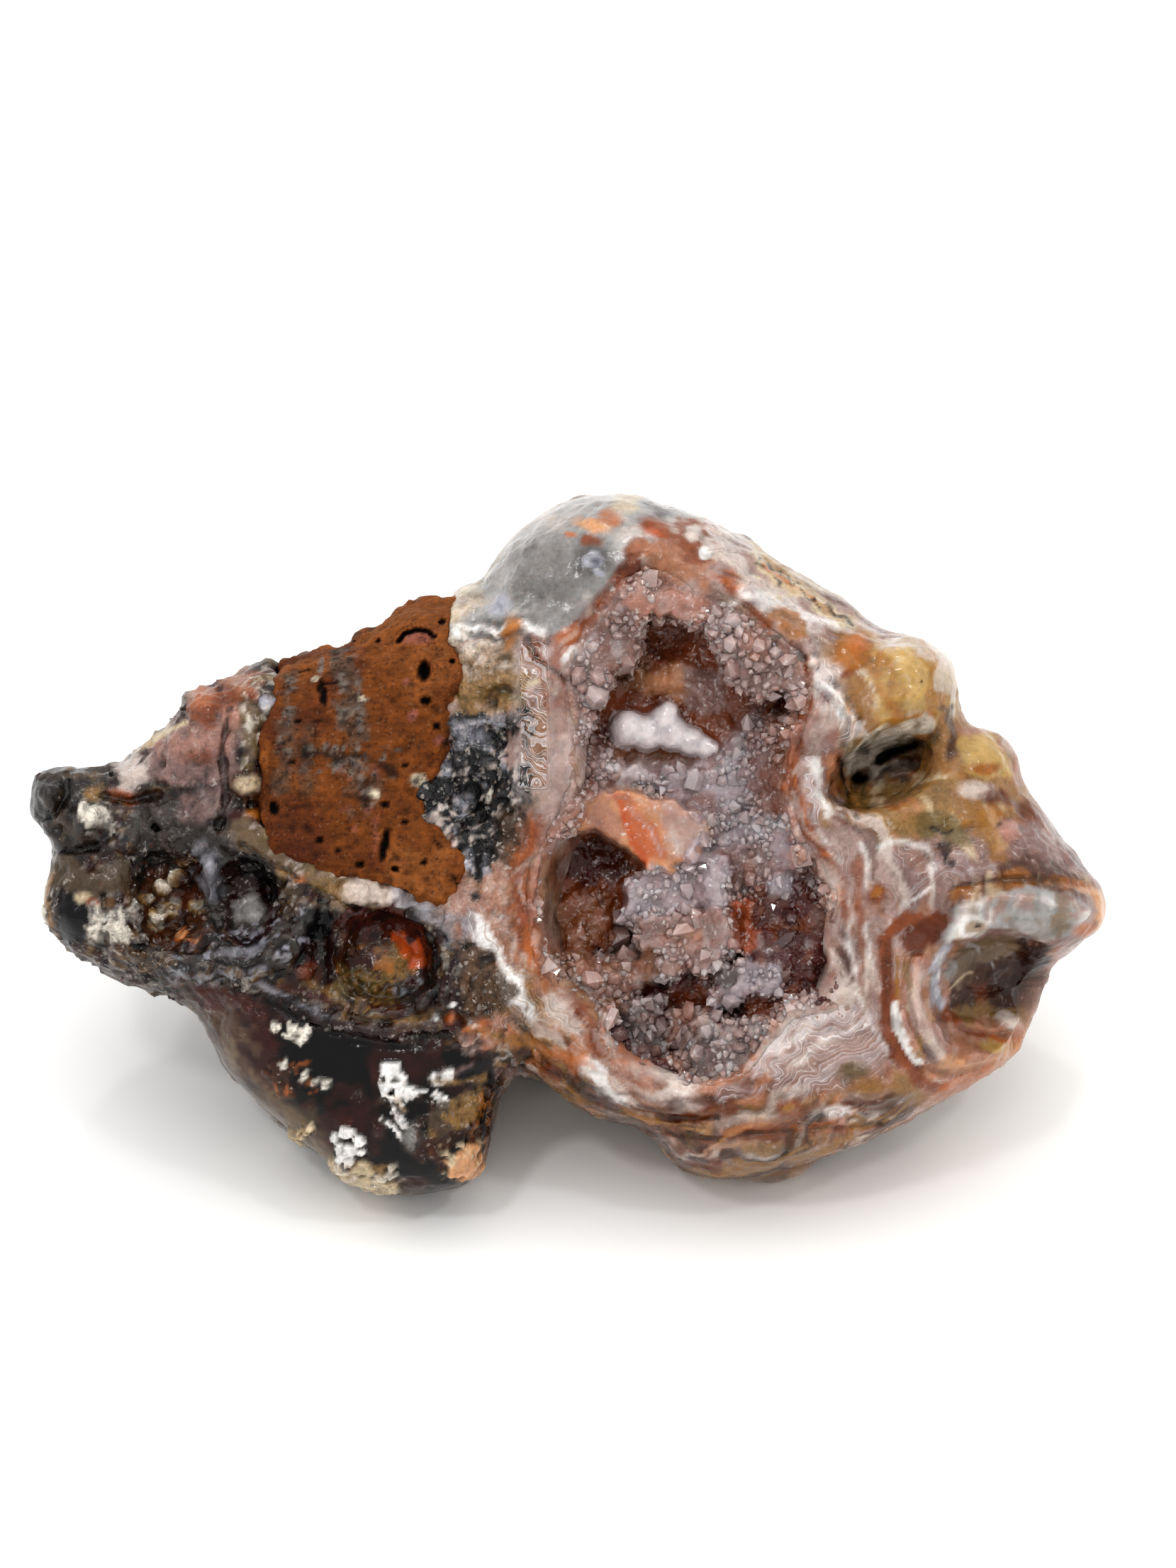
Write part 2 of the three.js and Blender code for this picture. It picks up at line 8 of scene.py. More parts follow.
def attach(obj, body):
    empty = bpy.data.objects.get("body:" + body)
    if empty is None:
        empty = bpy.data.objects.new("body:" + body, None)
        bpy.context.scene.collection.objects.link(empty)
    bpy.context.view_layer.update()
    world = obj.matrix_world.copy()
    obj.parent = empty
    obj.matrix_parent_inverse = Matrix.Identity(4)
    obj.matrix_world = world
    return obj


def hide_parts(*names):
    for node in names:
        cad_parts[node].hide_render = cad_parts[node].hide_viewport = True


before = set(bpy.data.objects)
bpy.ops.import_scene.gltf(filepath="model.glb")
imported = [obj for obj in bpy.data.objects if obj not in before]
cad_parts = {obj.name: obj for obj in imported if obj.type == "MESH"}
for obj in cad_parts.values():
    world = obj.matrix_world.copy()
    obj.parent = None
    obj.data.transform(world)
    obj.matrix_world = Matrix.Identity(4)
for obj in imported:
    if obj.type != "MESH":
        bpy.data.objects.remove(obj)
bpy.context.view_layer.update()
bpy.ops.object.select_all(action="DESELECT")

# ---------------------------------------------------------------- chalcedony body
# The stone itself: a broken nodule of banded chalcedony, a dark bubbly mass with glassy domes on
# its left, and a bubbled back. It grew in layers in a cavity of the rock, and was broken open.

# Lengths are millimetres, square to the broken face: u right, v up the face, w out of it. Places
# on the face are also given as marks, sixteenths of a millimetre across and down from its corner,
# and a line of them is written as x,y, x,y.
LEAN = radians(50)
FACE_AT = np.array([-0.0335, -4.3742, 27.0312])
MARK_U, MARK_V, MARK = 800, 1190, 16.0
MOUTH = [906,798, 960,832, 1021,848, 1062,880, 1112,920, 1136,963, 1134,1011, 1110,1060, 1104,1110,
    1117,1171, 1150,1219, 1174,1262, 1171,1331, 1187,1380, 1181,1417, 1110,1428, 1072,1470, 1040,1513,
    979,1529, 922,1524, 870,1491, 846,1440, 800,1400, 762,1352, 750,1289, 755,1222, 776,1177, 813,1110,
    814,1040, 808,990, 800,940, 832,888, 867,838]


def squared(p):
    """Directions, turned square to the face."""
    return np.stack([p[:, 0], cos(LEAN) * p[:, 1] + sin(LEAN) * p[:, 2],
                     cos(LEAN) * p[:, 2] - sin(LEAN) * p[:, 1]], 1)


def to_face(points):
    return squared(points * 1000 - FACE_AT)


def from_face(points):
    u, v, w = points.T
    leant = np.stack([u, cos(LEAN) * v - sin(LEAN) * w, sin(LEAN) * v + cos(LEAN) * w], 1)
    return (leant + FACE_AT) / 1000


def marks_of(points):
    return np.stack([points[:, 0] * MARK + MARK_U, MARK_V - points[:, 1] * MARK], 1)


def at_mark(x, y, w=0.0):
    return np.array([(x - MARK_U) / MARK, (MARK_V - y) / MARK, w])


def chance(cell, seed):
    """A number from 0 to 1 for each cell of a grid, the same each time for the same seed. The large
    numbers only mix its bits."""
    h = cell[..., 0] * 73856093 ^ cell[..., 1] * 19349663 ^ cell[..., 2] * 83492791
    h = h ^ (seed * 2654435 + 977)
    h = ((h ^ (h >> 13)) & 0xFFFFFFFF) * 1274126177 & 0xFFFFFFFF
    h = ((h ^ (h >> 15)) & 0xFFFFFFFF) * 668265263 & 0xFFFFFFFF
    return ((h ^ (h >> 16)) & 0xFFFFFF) / 0xFFFFFF


def mottle(points, size, seed, layers=3, keep=0.5):
    """Soft random rises and falls from -1 to 1, `size` apart."""
    total, weight, top = np.zeros(len(points)), 1.0, 0.0
    for k in range(layers):
        q = points / size * 2 ** k + 31.7 * k
        i = np.floor(q).astype(np.int64)
        f = q - i
        f = f * f * f * (f * (f * 6 - 15) + 10)
        part = 0
        for c in range(8):
            o = np.array([c & 1, c >> 1 & 1, c >> 2 & 1])
            side = np.prod(np.where(o == 1, f, 1 - f), axis=1)
            part = part + side * (chance(i + o, seed + k) * 2 - 1)
        total += weight * part
        top += weight
        weight *= keep
    return total / top * 1.6


def beads(points, size, seed):
    """A surface covered in round beads `size` apart: how far each point is from its bead's middle
    and from the next one's, and the bead's own number."""
    q = points / size
    i = np.floor(q).astype(np.int64)
    near, next_, own = np.full(len(q), 9.0), np.full(len(q), 9.0), np.zeros(len(q))
    for c in range(27):
        cell = i + np.array([c % 3 - 1, c // 3 % 3 - 1, c // 9 - 1])
        middle = cell + np.stack([chance(cell, seed), chance(cell, seed + 7), chance(cell, seed + 13)], 1)
        away = np.linalg.norm(q - middle, axis=1)
        nearer = away < near
        next_ = np.where(nearer, near, np.minimum(next_, away))
        own = np.where(nearer, chance(cell, seed + 29), own)
        near = np.where(nearer, away, near)
    return near, next_, own


def dome(away, high=1):
    """Height of a round bead this far from its middle."""
    return np.sqrt(np.clip(high - away ** 2, 0, 1))


def ease(x):
    x = np.clip(x, 0, 1)
    return x * x * (3 - 2 * x)


def pairs(line):
    return np.reshape(line, (-1, 2)).astype(float)


def line_away(xy, line, closed=False):
    """Distance from a line, and how far along it, both in marks."""
    p = pairs(line)
    q = np.roll(p, -1, 0) if closed else p[1:]
    p = p if closed else p[:-1]
    best, along, so_far = np.full(len(xy), 1e9), np.zeros(len(xy)), 0.0
    for a, b in zip(p, q):
        d = b - a
        long = np.hypot(*d) + 1e-9
        t = np.clip(((xy - a) @ d) / long ** 2, 0, 1)
        away = np.hypot(*(xy - a - t[:, None] * d).T)
        nearer = away < best
        best, along = np.where(nearer, away, best), np.where(nearer, so_far + t * long, along)
        so_far += long
    return best, along


def inside(xy, line):
    """How far inside the closed line each place is, in marks, and outside it as a negative."""
    p = pairs(line)
    q = np.roll(p, -1, 0)
    x, y = xy.T
    odd = np.zeros(len(xy), bool)
    for (ax, ay), (bx, by) in zip(p, q):
        if ay != by:
            odd ^= ((ay > y) != (by > y)) & (x < (bx - ax) * (y - ay) / (by - ay) + ax)
    away = line_away(xy, line, True)[0]
    return np.where(odd, away, -away)


def oval(xy, x, y, rx, ry, turn=0):
    """How far each place lies from an oval's middle: 1 is on its edge."""
    d = xy - (x, y)
    c, s = cos(radians(turn)), sin(radians(turn))
    return np.hypot((d[:, 0] * c - d[:, 1] * s) / rx, (d[:, 0] * s + d[:, 1] * c) / ry)


def pigment(colour):
    """How much of each light a colour gives back."""
    c = np.array([int(colour[k:k + 2], 16) / 255 for k in (0, 2, 4)])
    c = np.where(c <= 0.04045, c / 12.92, ((c + 0.055) / 1.055) ** 2.4)
    c = np.clip(c * .8 - .008, .002, 1)
    return c + (c.mean() - c) * .07


# Finishes: colour, roughness, how granular it is, and how far light goes into it.
FINISHES = {
    "milk": ("d2c2b8", .3, .25, .6), "white": ("efebe6", .4, .3, .3), "chalk": ("ddd4c6", .8, .6, .0),
    "lilac": ("a78b82", .28, .25, .6), "mauve": ("8c6f69", .28, .35, .6), "ice": ("b4b4be", .2, .2, .7),
    "cap": ("a5a29f", .2, .12, .8), "smoke": ("584838", .25, .3, .3), "slate": ("3d3734", .2, .4, .3),
    "pink": ("ab7c6b", .3, .3, .6), "salmon": ("ac7452", .3, .3, .5), "peach": ("d9a070", .28, .2, .6),
    "rust": ("8b4b2a", .32, .3, .35), "brick": ("6e371c", .34, .35, .25), "maroon": ("502820", .25, .4, .3),
    "orange": ("be6a2a", .28, .2, .5), "amber": ("a8681e", .2, .2, .6), "cream": ("d2bd9a", .34, .3, .4),
    "yellow": ("c4a05c", .22, .12, .7), "ochre": ("9c6c26", .32, .3, .35), "tan": ("93703f", .4, .5, .25),
    "olive": ("66542c", .4, .5, .2), "fawn": ("543f2e", .34, .6, .15), "umber": ("4a2c19", .3, .5, .15),
    "peat": ("2f1c14", .2, .4, .15), "coal": ("201f21", .1, .15, .05), "plum": ("1f120d", .1, .1, .1),
    "black": ("151111", .25, .4, .0), "bottle": ("24211e", .12, .2, .15), "bark": ("2b1d15", .28, .55, .15),
    "toffee": ("42220d", .09, .15, .3), "ember": ("d45c0e", .08, .1, .6),
    "cinders": ("343436", .4, 1.0, .1), "horn": ("7c664e", .12, .1, .5),
}
LAYERED = {"milk", "white", "lilac", "mauve", "ice", "cap", "pink", "peach", "cream", "horn"}


class Surface:
    """What is laid over a piece's points: colour, finish, and anything else that a mark changes."""

    def __init__(self, points, base, ragged=1.0):
        self.points = self.flow = points
        self.rag = (mottle(points, 2.6, 401, 2) * 7 + mottle(points, .8, 407, 2) * 4) * ragged
        self.xy = marks_of(points)
        self.xy = self.xy + np.stack([mottle(points, 2, 411, 3), mottle(points, 2, 419, 3)], 1) * 5 * ragged
        self.front = ease((points[:, 2] + 7) / 6)
        colour, rough, grain, glow = FINISHES[base]
        self.paint = np.tile(pigment(colour), (len(points), 1))
        self.finish = np.tile([rough, grain, glow], (len(points), 1)).astype(float)
        self.banding = np.zeros(len(points))
        self.depth = np.zeros(len(points))
        self.druse = np.zeros(len(points))

    def lay(self, mask, finish, depth=None, druse=None, banding=None):
        m = mask[:, None]
        if finish:
            if banding is None and finish not in LAYERED:
                banding = 0
            colour, rough, grain, glow = FINISHES[finish]
            self.paint += (pigment(colour) - self.paint) * m
            self.finish += (np.array([rough, grain, glow]) - self.finish) * m
        for name, value in (("depth", depth), ("druse", druse), ("banding", banding)):
            if value is not None:
                old = getattr(self, name)
                setattr(self, name, old + (value - old) * mask)

    def near(self, line, reach):
        p = pairs(line)
        return np.all((self.xy > p.min(0) - reach) & (self.xy < p.max(0) + reach), axis=1)

    def patch(self, line, finish, soft=10, rag=1.4, much=.9, **more):
        """Lays the finish inside a closed line, with an edge as soft and as ragged as it says."""
        on = self.near(line, soft + 25 * rag)
        d = np.full(len(self.xy), -1e3)
        d[on] = inside(self.xy[on], line) + self.rag[on] * rag
        self.lay(ease(.5 + d / soft / 1.2) * much * self.front, finish, **more)

    def streak(self, line, wide, finish, soft=10, rag=1.4, much=.8, **more):
        """Lays it along a line."""
        on = self.near(line, wide + soft + 25 * rag)
        d = np.full(len(self.xy), -1e3)
        uneven = 1 + np.clip(self.rag[on] * rag / 12, -.7, 1)
        d[on] = wide / 2 * uneven - line_away(self.xy[on], line)[0]
        self.lay(ease(.5 + d / soft / 1.2) * much * self.front, finish, **more)

    def mottled(self, line, *clouds, soft=10, **more):
        """Lays finishes inside a closed line in scattered spots, `size` millimetres apart."""
        on = self.near(line, soft)
        for size, finish, much, seed in clouds:
            spots = ease(mottle(self.flow[on], size, 600 + seed, 3, .6) * 2.8 - .6)
            m = np.zeros(len(self.xy))
            m[on] = ease(.5 + inside(self.xy[on], line) / soft) * spots
            self.lay(m * much * self.front, finish, **more)

    def spot(self, x, y, rx, ry, finish, turn=0, soft=.5, rag=.5, much=1, **more):
        """Lays it in an oval."""
        r = 1 - oval(self.xy, x, y, rx, ry, turn) + self.rag * rag / (rx + ry) * 1.4
        self.lay(ease(.5 + r / soft / 1.4) * much * self.front, finish, **more)


def points_of(mesh):
    p = np.empty(len(mesh.vertices) * 3)
    mesh.vertices.foreach_get("co", p)
    return p.reshape(-1, 3)


def normals_of(mesh):
    n = np.empty(len(mesh.vertices) * 3)
    mesh.vertex_normals.foreach_get("vector", n)
    return n.reshape(-1, 3)


def set_points(mesh, points):
    mesh.vertices.foreach_set("co", np.ascontiguousarray(points, dtype=np.float32).ravel())
    mesh.update()


def dips_of(mesh, points, normals):
    """How far each point lies below the points round it, in millimetres: shade is painted where it lies
    low, and light where it stands proud.
    """
    ends = np.empty(len(mesh.edges) * 2, int)
    mesh.edges.foreach_get("vertices", ends)
    a, b = ends.reshape(-1, 2).T
    count = np.bincount(a, minlength=len(points)) + np.bincount(b, minlength=len(points))

    def beside(values):
        return np.bincount(a, values[b], len(points)) + np.bincount(b, values[a], len(points))

    spread = np.stack([beside(points[:, k]) for k in range(3)], 1)
    dip = ((spread / count[:, None] - points) * normals).sum(1)
    for _ in range(2):
        dip = beside(dip) / count * .5 + dip * .5
    return dip


def choose(piece):
    bpy.ops.object.select_all(action="DESELECT")
    piece.select_set(True)
    bpy.context.view_layer.objects.active = piece


def finish_with(piece, kind, **settings):
    """Adds a modifier with these settings and applies it."""
    choose(piece)
    m = piece.modifiers.new(kind.lower(), kind)
    for name, value in settings.items():
        setattr(m, name, value)
    bpy.ops.object.modifier_apply(modifier=m.name)


def rough_copy(node, name, grid):
    """A closed copy of a solid, its places square to the face, remade in even quads `grid` wide."""
    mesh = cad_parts[node].data.copy()
    piece = bpy.data.objects.new(name, mesh)
    mesh.name = name
    bpy.context.collection.objects.link(piece)
    set_points(mesh, to_face(points_of(mesh)))
    b = bmesh.new()
    b.from_mesh(mesh)
    bmesh.ops.remove_doubles(b, verts=b.verts, dist=1e-3)
    b.to_mesh(mesh)
    b.free()
    mesh.materials.clear()
    finish_with(piece, "REMESH", mode="VOXEL", voxel_size=grid)
    return piece


def refine(piece, chosen):
    """Divides in four the faces that `chosen` says yes to, given their middles and normals."""
    b = bmesh.new()
    b.from_mesh(piece.data)
    middles = np.array([f.calc_center_median()[:] for f in b.faces])
    normals = np.array([f.normal[:] for f in b.faces])
    yes = chosen(middles, normals)
    b.faces.ensure_lookup_table()
    edges = {e for f, y in zip(b.faces, yes) if y for e in f.edges}
    bmesh.ops.subdivide_edges(b, edges=list(edges), cuts=1, use_grid_fill=True)
    bmesh.ops.triangulate(b, faces=[f for f in b.faces if len(f.verts) > 4])
    b.to_mesh(piece.data)
    b.free()


def raised(points, rises, ridges):
    """How far each point moves out of the face: ovals with their rise, and lines with theirs."""
    xy = marks_of(points)
    up = np.zeros(len(points))
    for *where, rise in rises:
        up += rise * ease(1 - oval(xy, *where))
    for line, wide, rise in ridges:
        up += rise * ease(1 - line_away(xy, line)[0] / wide)
    return up


stone = rough_copy("agate_body", "stone", 1.2)
finish_with(stone, "SMOOTH", factor=.5, iterations=3)

# The cup's steep wall is laid back into a funnel with a round floor.
CUP_AT, CUP_WIDE, CUP_DEEP = np.array([1402, 1398]), np.array([98, 86]), 7.5
place = points_of(stone.data)
wide = np.hypot(*((marks_of(place) - CUP_AT) / CUP_WIDE).T)
brim = (wide > 1.08) & (wide < 1.25) & (normals_of(stone.data)[:, 2] > .4) & (place[:, 2] > 4)
flat = np.column_stack([place[brim, :2], np.ones(brim.sum())])
slope = np.linalg.lstsq(flat, place[brim, 2], rcond=None)[0]
level = place[:, :2] @ slope[:2] + slope[2]
sunk = np.clip((level - place[:, 2]) / 10, 0, 1)
within = (wide < 1.1) & (place[:, 2] > -4)
drawn = np.where(within, 1 - .72 * sunk, 1)
place[:, :2] = at_mark(*CUP_AT)[:2] + (place[:, :2] - at_mark(*CUP_AT)[:2]) * drawn[:, None]
bowl = level - CUP_DEEP * np.sqrt(np.clip(1 - (wide * drawn) ** 2, 0, 1))
place[:, 2] = np.where(within & (sunk > .02), bowl, place[:, 2])
set_points(stone.data, place)
finish_with(stone, "SMOOTH", factor=.5, iterations=1)


def wall_of_hollow(middles):
    return (inside(marks_of(middles), MOUTH) > -6) & (middles[:, 2] > -14)


refine(stone, lambda m, n: ~wall_of_hollow(m))
finish_with(stone, "SMOOTH", factor=.5, iterations=3)
refine(stone, lambda m, n: ~wall_of_hollow(m) & (n[:, 2] > .3) & (m[:, 2] > 0))
finish_with(stone, "SMOOTH", factor=.5, iterations=2)

# Rises and ridges of the broken face, larger than its grain.
RISES = [
    # x, y, half its width and height, degrees turned, and millimetres of rise
    (258,1238, 20,15, 1.3), (228,1250, 16,12, 1), (230,1290, 24,18, 10, 1.4), (266,1318, 22,14, 1.1),
    (300,1232, 22,30, .9), (322,1300, 10,30, 1), (205,1325, 30,14, 20, .6), (384,1262, 14,30, -.8),
    (66,1116, 34,34, 1.5), (124,1158, 38,36, 20, 1.4), (80,1186, 26,22, .8), (104,1090, 30,18, 10, .7),
    (140,1152, 18,20, .5), (102,1290, 34,38, 20, .9), (138,1238, 46,26, .8), (150,1310, 40,20, 20, .6),
    (74,1240, 16,40, .6), (190,1092, 34,22, .9), (285,996, 34,30, 1.2), (340,968, 40,28, -20, 1.1),
    (335,1010, 26,24, .7), (262,1062, 50,34, -10, .7), (230,1150, 40,30, .5), (225,1166, 9,9, -1.4),
    (300,1150, 40,26, .5), (360,1054, 28,26, .6), (355,1114, 30,24, .6), (350,1152, 34,18, .5),
    (432,1242, 34,24, .7), (380,995, 16,14, .7), (388,955, 18,26, .6), (505,1262, 34,18, .8),
    (545,1262, 26,16, .7), (600,1290, 46,24, 30, .7), (630,1308, 7,22, 10, -1), (448,1385, 50,34, -.8),
    (430,1372, 18,14, .7), (470,1402, 16,12, .8), (420,1402, 14,10, .6), (655,1380, 40,46, .6),
    (668,1460, 34,22, .8), (700,1040, 44,34, -1), (672,1120, 56,62, -1.2), (690,1200, 30,40, -.8),
    (690,1118, 26,22, 1), (655,1150, 20,18, .9), (712,1160, 18,24, .9), (690,1210, 20,26, .9),
    (720,1020, 20,14, .7), (690,965, 46,30, .8), (680,920, 40,34, .8), (722,892, 22,26, .5),
    (800,928, 28,20, 10, .6), (800,1090, 26,40, .5), (780,1140, 26,40, .5), (735,1250, 22,80, .7),
    (690,1320, 34,34, 30, .8), (730,1390, 30,34, 30, .8), (775,1440, 34,40, 30, .7),
    (840,1520, 50,34, 30, .6), (960,1600, 70,30, 8, .6), (1110,1560, 44,26, .9),
    (1180,1560, 44,26, -10, .7), (1230,1520, 50,34, -30, .6), (1160,1480, 60,40, -30, .5),
    (1200,918, 34,38, -20, .9), (1142,935, 14,12, .8), (1120,905, 40,20, 35, .5),
    (1040,800, 60,20, 35, .6), (925,760, 36,26, -30, .5), (978,756, 16,14, .7), (993,782, 10,9, .7),
    (850,740, 40,24, -30, .5), (838,796, 16,12, -.6), (708,856, 20,18, -.5), (770,850, 60,40, -.4),
    (1180,1100, 18,40, 5, .6), (1290,930, 60,46, .6), (1262,985, 40,24, .5), (1330,1035, 16,44, -10, .6),
    (1385,1066, 40,36, .9), (1262,1092, 40,12, 15, 1.2), (1212,1100, 15,10, -2.4), (1205,1132, 22,20, .7),
    (1270,1140, 60,30, .7), (1320,1172, 30,18, -.4), (1375,1115, 34,18, .7), (1420,1138, 34,20, 20, .6),
    (1420,1172, 20,20, .9), (1285,1240, 34,46, .7), (1330,1215, 12,18, -.6), (1480,1205, 60,22, 14, .6),
    (1370,1306, 24,18, -.5), (1515,1285, 36,22, .6), (1290,1310, 44,36, -.6), (1420,1438, 20,14, .7),
    (1415,1470, 30,12, .5), (1340,1445, 40,20, -30, .4), (1275,1540, 34,24, .6), (1110,1236, 10,10, .3),
    (965,1634, 24,20, .7), (1070,1640, 40,24, .7), (640,1434, 15,13, 1.2), (626,1418, 11,10, .9),
    (508,1375, 13,12, .7), (530,1392, 14,12, .7), (556,1396, 13,12, .7), (580,1388, 12,12, .6),
    (597,1408, 13,12, .8), (520,1412, 14,11, .6), (545,1414, 11,9, .5), (500,1340, 15,16, .6),
    (575,1345, 13,12, .4), (550,1322, 16,12, .4), (360,1288, 20,22, .8), (298,1215, 18,24, 1),
    (300,1262, 16,24, .9), (262,1322, 16,9, 1), (196,1345, 18,14, .9), (176,1310, 20,16, .8),
    (180,1190, 26,20, .6), (255,1180, 24,16, .5), (330,1188, 22,14, .5), (470,1236, 24,12, 20, .7),
]
RIDGES = [
    ([232,1362, 300,1352, 350,1364, 398,1346, 424,1322, 440,1284], 26, 1.3),
    ([240,1392, 300,1388, 372,1398, 402,1420, 440,1440, 486,1454], 12, -.4),
    ([484,1440, 540,1452, 600,1444, 655,1452], 17, .9),
    ([500,1466, 560,1474, 620,1470, 690,1490], 12, -.2),
    ([588,1296, 614,1340, 612,1390, 596,1418], 13, .9),
    ([484,1300, 500,1286, 540,1278, 580,1290], 9, .4),
    ([640,902, 680,884, 706,896, 735,882, 765,900], 12, .8),
    ([745,905, 760,935, 785,950, 800,960], 8, -.5),
    ([1180,1072, 1188,1110, 1204,1150], 8, -.9),
    ([1240,1070, 1260,1058, 1288,1050], 11, -2.6),
    ([1150,960, 1180,985, 1200,1020, 1196,1070], 12, .7),
    ([1040,840, 1085,850, 1130,872, 1185,880], 14, .7),
    ([1055,880, 1090,900, 1130,930], 9, -.5),
    ([1250,1330, 1247,1400, 1253,1440, 1268,1480, 1292,1512], 12, -.3),
    ([1268,1428, 1278,1462, 1300,1495], 9, .8),
    ([1290,1350, 1284,1400, 1298,1450, 1322,1486], 11, .9),
    ([1312,1350, 1310,1400, 1322,1445], 7, -.25),
    ([1340,1250, 1400,1240, 1470,1238, 1540,1250], 9, -.5),
    ([1335,1275, 1400,1262, 1460,1266, 1545,1290], 16, .6),
    ([1330,1300, 1400,1292, 1470,1296, 1530,1312], 9, -.2),
    ([1330,1326, 1400,1318, 1480,1322], 12, .4),
    ([1350,1440, 1400,1452, 1440,1440, 1466,1400], 10, .6),
    ([1290,1500, 1340,1515, 1400,1500], 8, -.5),
    ([860,1560, 930,1574, 1010,1572], 9, -.6),
    ([900,1592, 1000,1600, 1100,1590, 1240,1580], 8, -.5),
    ([1060,775, 1110,812, 1170,850, 1200,872], 8, -.4),
    ([150,1122, 185,1130, 225,1120], 9, -.8),
    ([96,1086, 98,1118, 84,1148, 50,1160], 9, -.9),
    ([60,1200, 100,1202, 140,1194], 8, -.8),
    ([328,1000, 318,1060, 322,1120, 312,1170], 8, -.6),
    ([345,1190, 400,1226, 470,1262, 520,1284], 9, -.6),
]
place = points_of(stone.data)
ahead = ease((place[:, 2] + 6) / 5) * ease(normals_of(stone.data)[:, 2] / .35)
place[:, 2] += raised(place, RISES, RIDGES) * ahead
# Crumbled stone fills the left and lower side of the gap round the fire dome.
FIRE_DOME = np.array([548, 1352])
off = marks_of(place) - FIRE_DOME
round_dome = ease(1 - np.abs(np.hypot(*off.T) - 72) / 20)
place[:, 2] += round_dome * ease(.4 + (off[:, 1] - off[:, 0]) / 110) * 1.5 * ahead
set_points(stone.data, place)

rind = Surface(place, "lilac")
patch, streak, mottled, spot = rind.patch, rind.streak, rind.mottled, rind.spot
x, y = marks_of(place).T
rim, rim_along = line_away(marks_of(place), MOUTH, True)

# The back is the outside of the growth: grey to fawn beads, browner and darker towards the left.
behind = 1 - rind.front
bead, bead_next, bead_own = beads(place + mottle(place, 3, 5, 2)[:, None] * .8, 5.2, 71)
rind.paint[:] = pigment("a89a90")
for k, name in enumerate(("cap", "fawn", "mauve", "tan", "cream", "smoke")):
    rind.lay(ease((bead_own - k / 6) * 9) * ease(((k + 1.4) / 6 - bead_own) * 9) * .8, name)
rind.lay(ease(.55 - (bead_next - bead) * 1.6) * .7, "umber")
rind.lay(ease(mottle(place, 6, 83) * 1.6 - .3) * .75, "ochre")
rind.lay(ease(mottle(place, 7, 89) * 1.8 - .5) * .7, "brick")
rind.lay(ease(mottle(place, 5, 97) * 2 - .7) * .8, "milk")
left = ease((640 - x + mottle(place, 5, 3) * 70) / 90)
rind.lay(left * .85, "peat")
rind.lay(left * ease(mottle(place, 4, 101) * 2.2 - .4) * .85, "fawn")
rind.lay(left * ease(mottle(place, 3, 103) * 2.4 - .9), "chalk")

# The nodule's face, from its broad colours to its marks.
NODULE_LEFT = 715
on_nodule = rind.front * ease((x - 600) / 60)
rind.lay(on_nodule, "lilac", banding=.2)
drift = np.stack([
    rim / MARK + mottle(place, 3.5, 127, 2) * 1.1, rim_along / MARK * .3, place[:, 2] * .3], 1)
rind.flow = np.where((x > NODULE_LEFT)[:, None], drift, place)
for size, seed, name, much in ((3.4, 131, "pink", .6), (2.6, 137, "tan", .6), (1.8, 139, "mauve", .8),
        (1.3, 149, "milk", .8), (1.5, 151, "rust", .65), (1.1, 157, "umber", .4)):
    rind.lay(on_nodule * ease(mottle(rind.flow, size, seed) * 2.8 - .6) * much, name)
patch([640,1180, 745,1150, 770,1330, 860,1480, 960,1545, 1230,1500, 1290,1560, 1220,1640, 940,1660,
    820,1590, 680,1490, 630,1340], "salmon", 20, 2, .5, banding=.35)
patch([740,1470, 860,1540, 1000,1560, 1240,1540, 1300,1560, 1220,1640, 940,1660, 820,1600], "ochre", 24, 3,
    .8, banding=.3)
patch([660,1340, 740,1360, 800,1440, 820,1500, 760,1490, 680,1420], "tan", 20, 3, .7, banding=.4)
low_down = rind.front * ease((y - 1400) / 60) * ease((x - 640) / 40)
for size, seed, name, much in ((2.6, 163, "umber", .8), (1.8, 167, "brick", .8), (1.4, 173, "milk", .6),
        (2.2, 177, "orange", .5), (1.1, 179, "peat", .5)):
    rind.lay(low_down * ease(mottle(rind.flow, size, seed) * 2.8 - .6) * much, name)
patch([1170,880, 1240,900, 1400,1000, 1470,1120, 1400,1200, 1250,1200, 1180,1100], "ochre", 24, 2, .8,
    banding=.05)
patch([1230,1180, 1420,1180, 1560,1260, 1560,1330, 1330,1340, 1240,1300], "mauve", 24, 2, .8, banding=.4)
patch([1250,1330, 1480,1330, 1470,1500, 1330,1570, 1240,1590], "salmon", 24, 2, .8, banding=.35)
patch([1090,1400, 1240,1400, 1280,1500, 1130,1540, 1050,1510], "lilac", 18, 2, banding=.6)
patch([1150,1150, 1260,1180, 1250,1420, 1180,1400, 1170,1280], "lilac", 16, 2, banding=.25)

# The grey cap and the white-edged growth round the top.
CAP = [650,905, 645,850, 680,780, 740,715, 830,690, 930,690, 1000,720, 960,745, 890,790, 860,850, 800,900,
    740,890]
patch(CAP, "cap", 10, 1, 1, banding=.15)
patch([715,890, 720,800, 770,760, 830,760, 850,830, 810,880], "slate", 40, 2, .4)
streak([642,890, 662,820, 700,765, 760,715], 26, "cream", 14, 1, .7)
streak([740,712, 830,690, 920,685, 1010,712], 26, "milk", 16, 1.5, .7)
streak([880,760, 940,750, 1010,735], 22, "milk", 14, 1.5, .6)
on_cap = rind.front * ease(inside(rind.xy, CAP) / 12)
for size, seed, gain, less, name in ((3.8, 193, 1.6, .4, "slate"), (2.6, 195, 2, .5, "milk")):
    rind.lay(on_cap * ease(mottle(place, size, seed, 4, .6) * gain - less) * .55, name, banding=.1)
spot(708, 856, 17, 15, "ice", 0, .7)
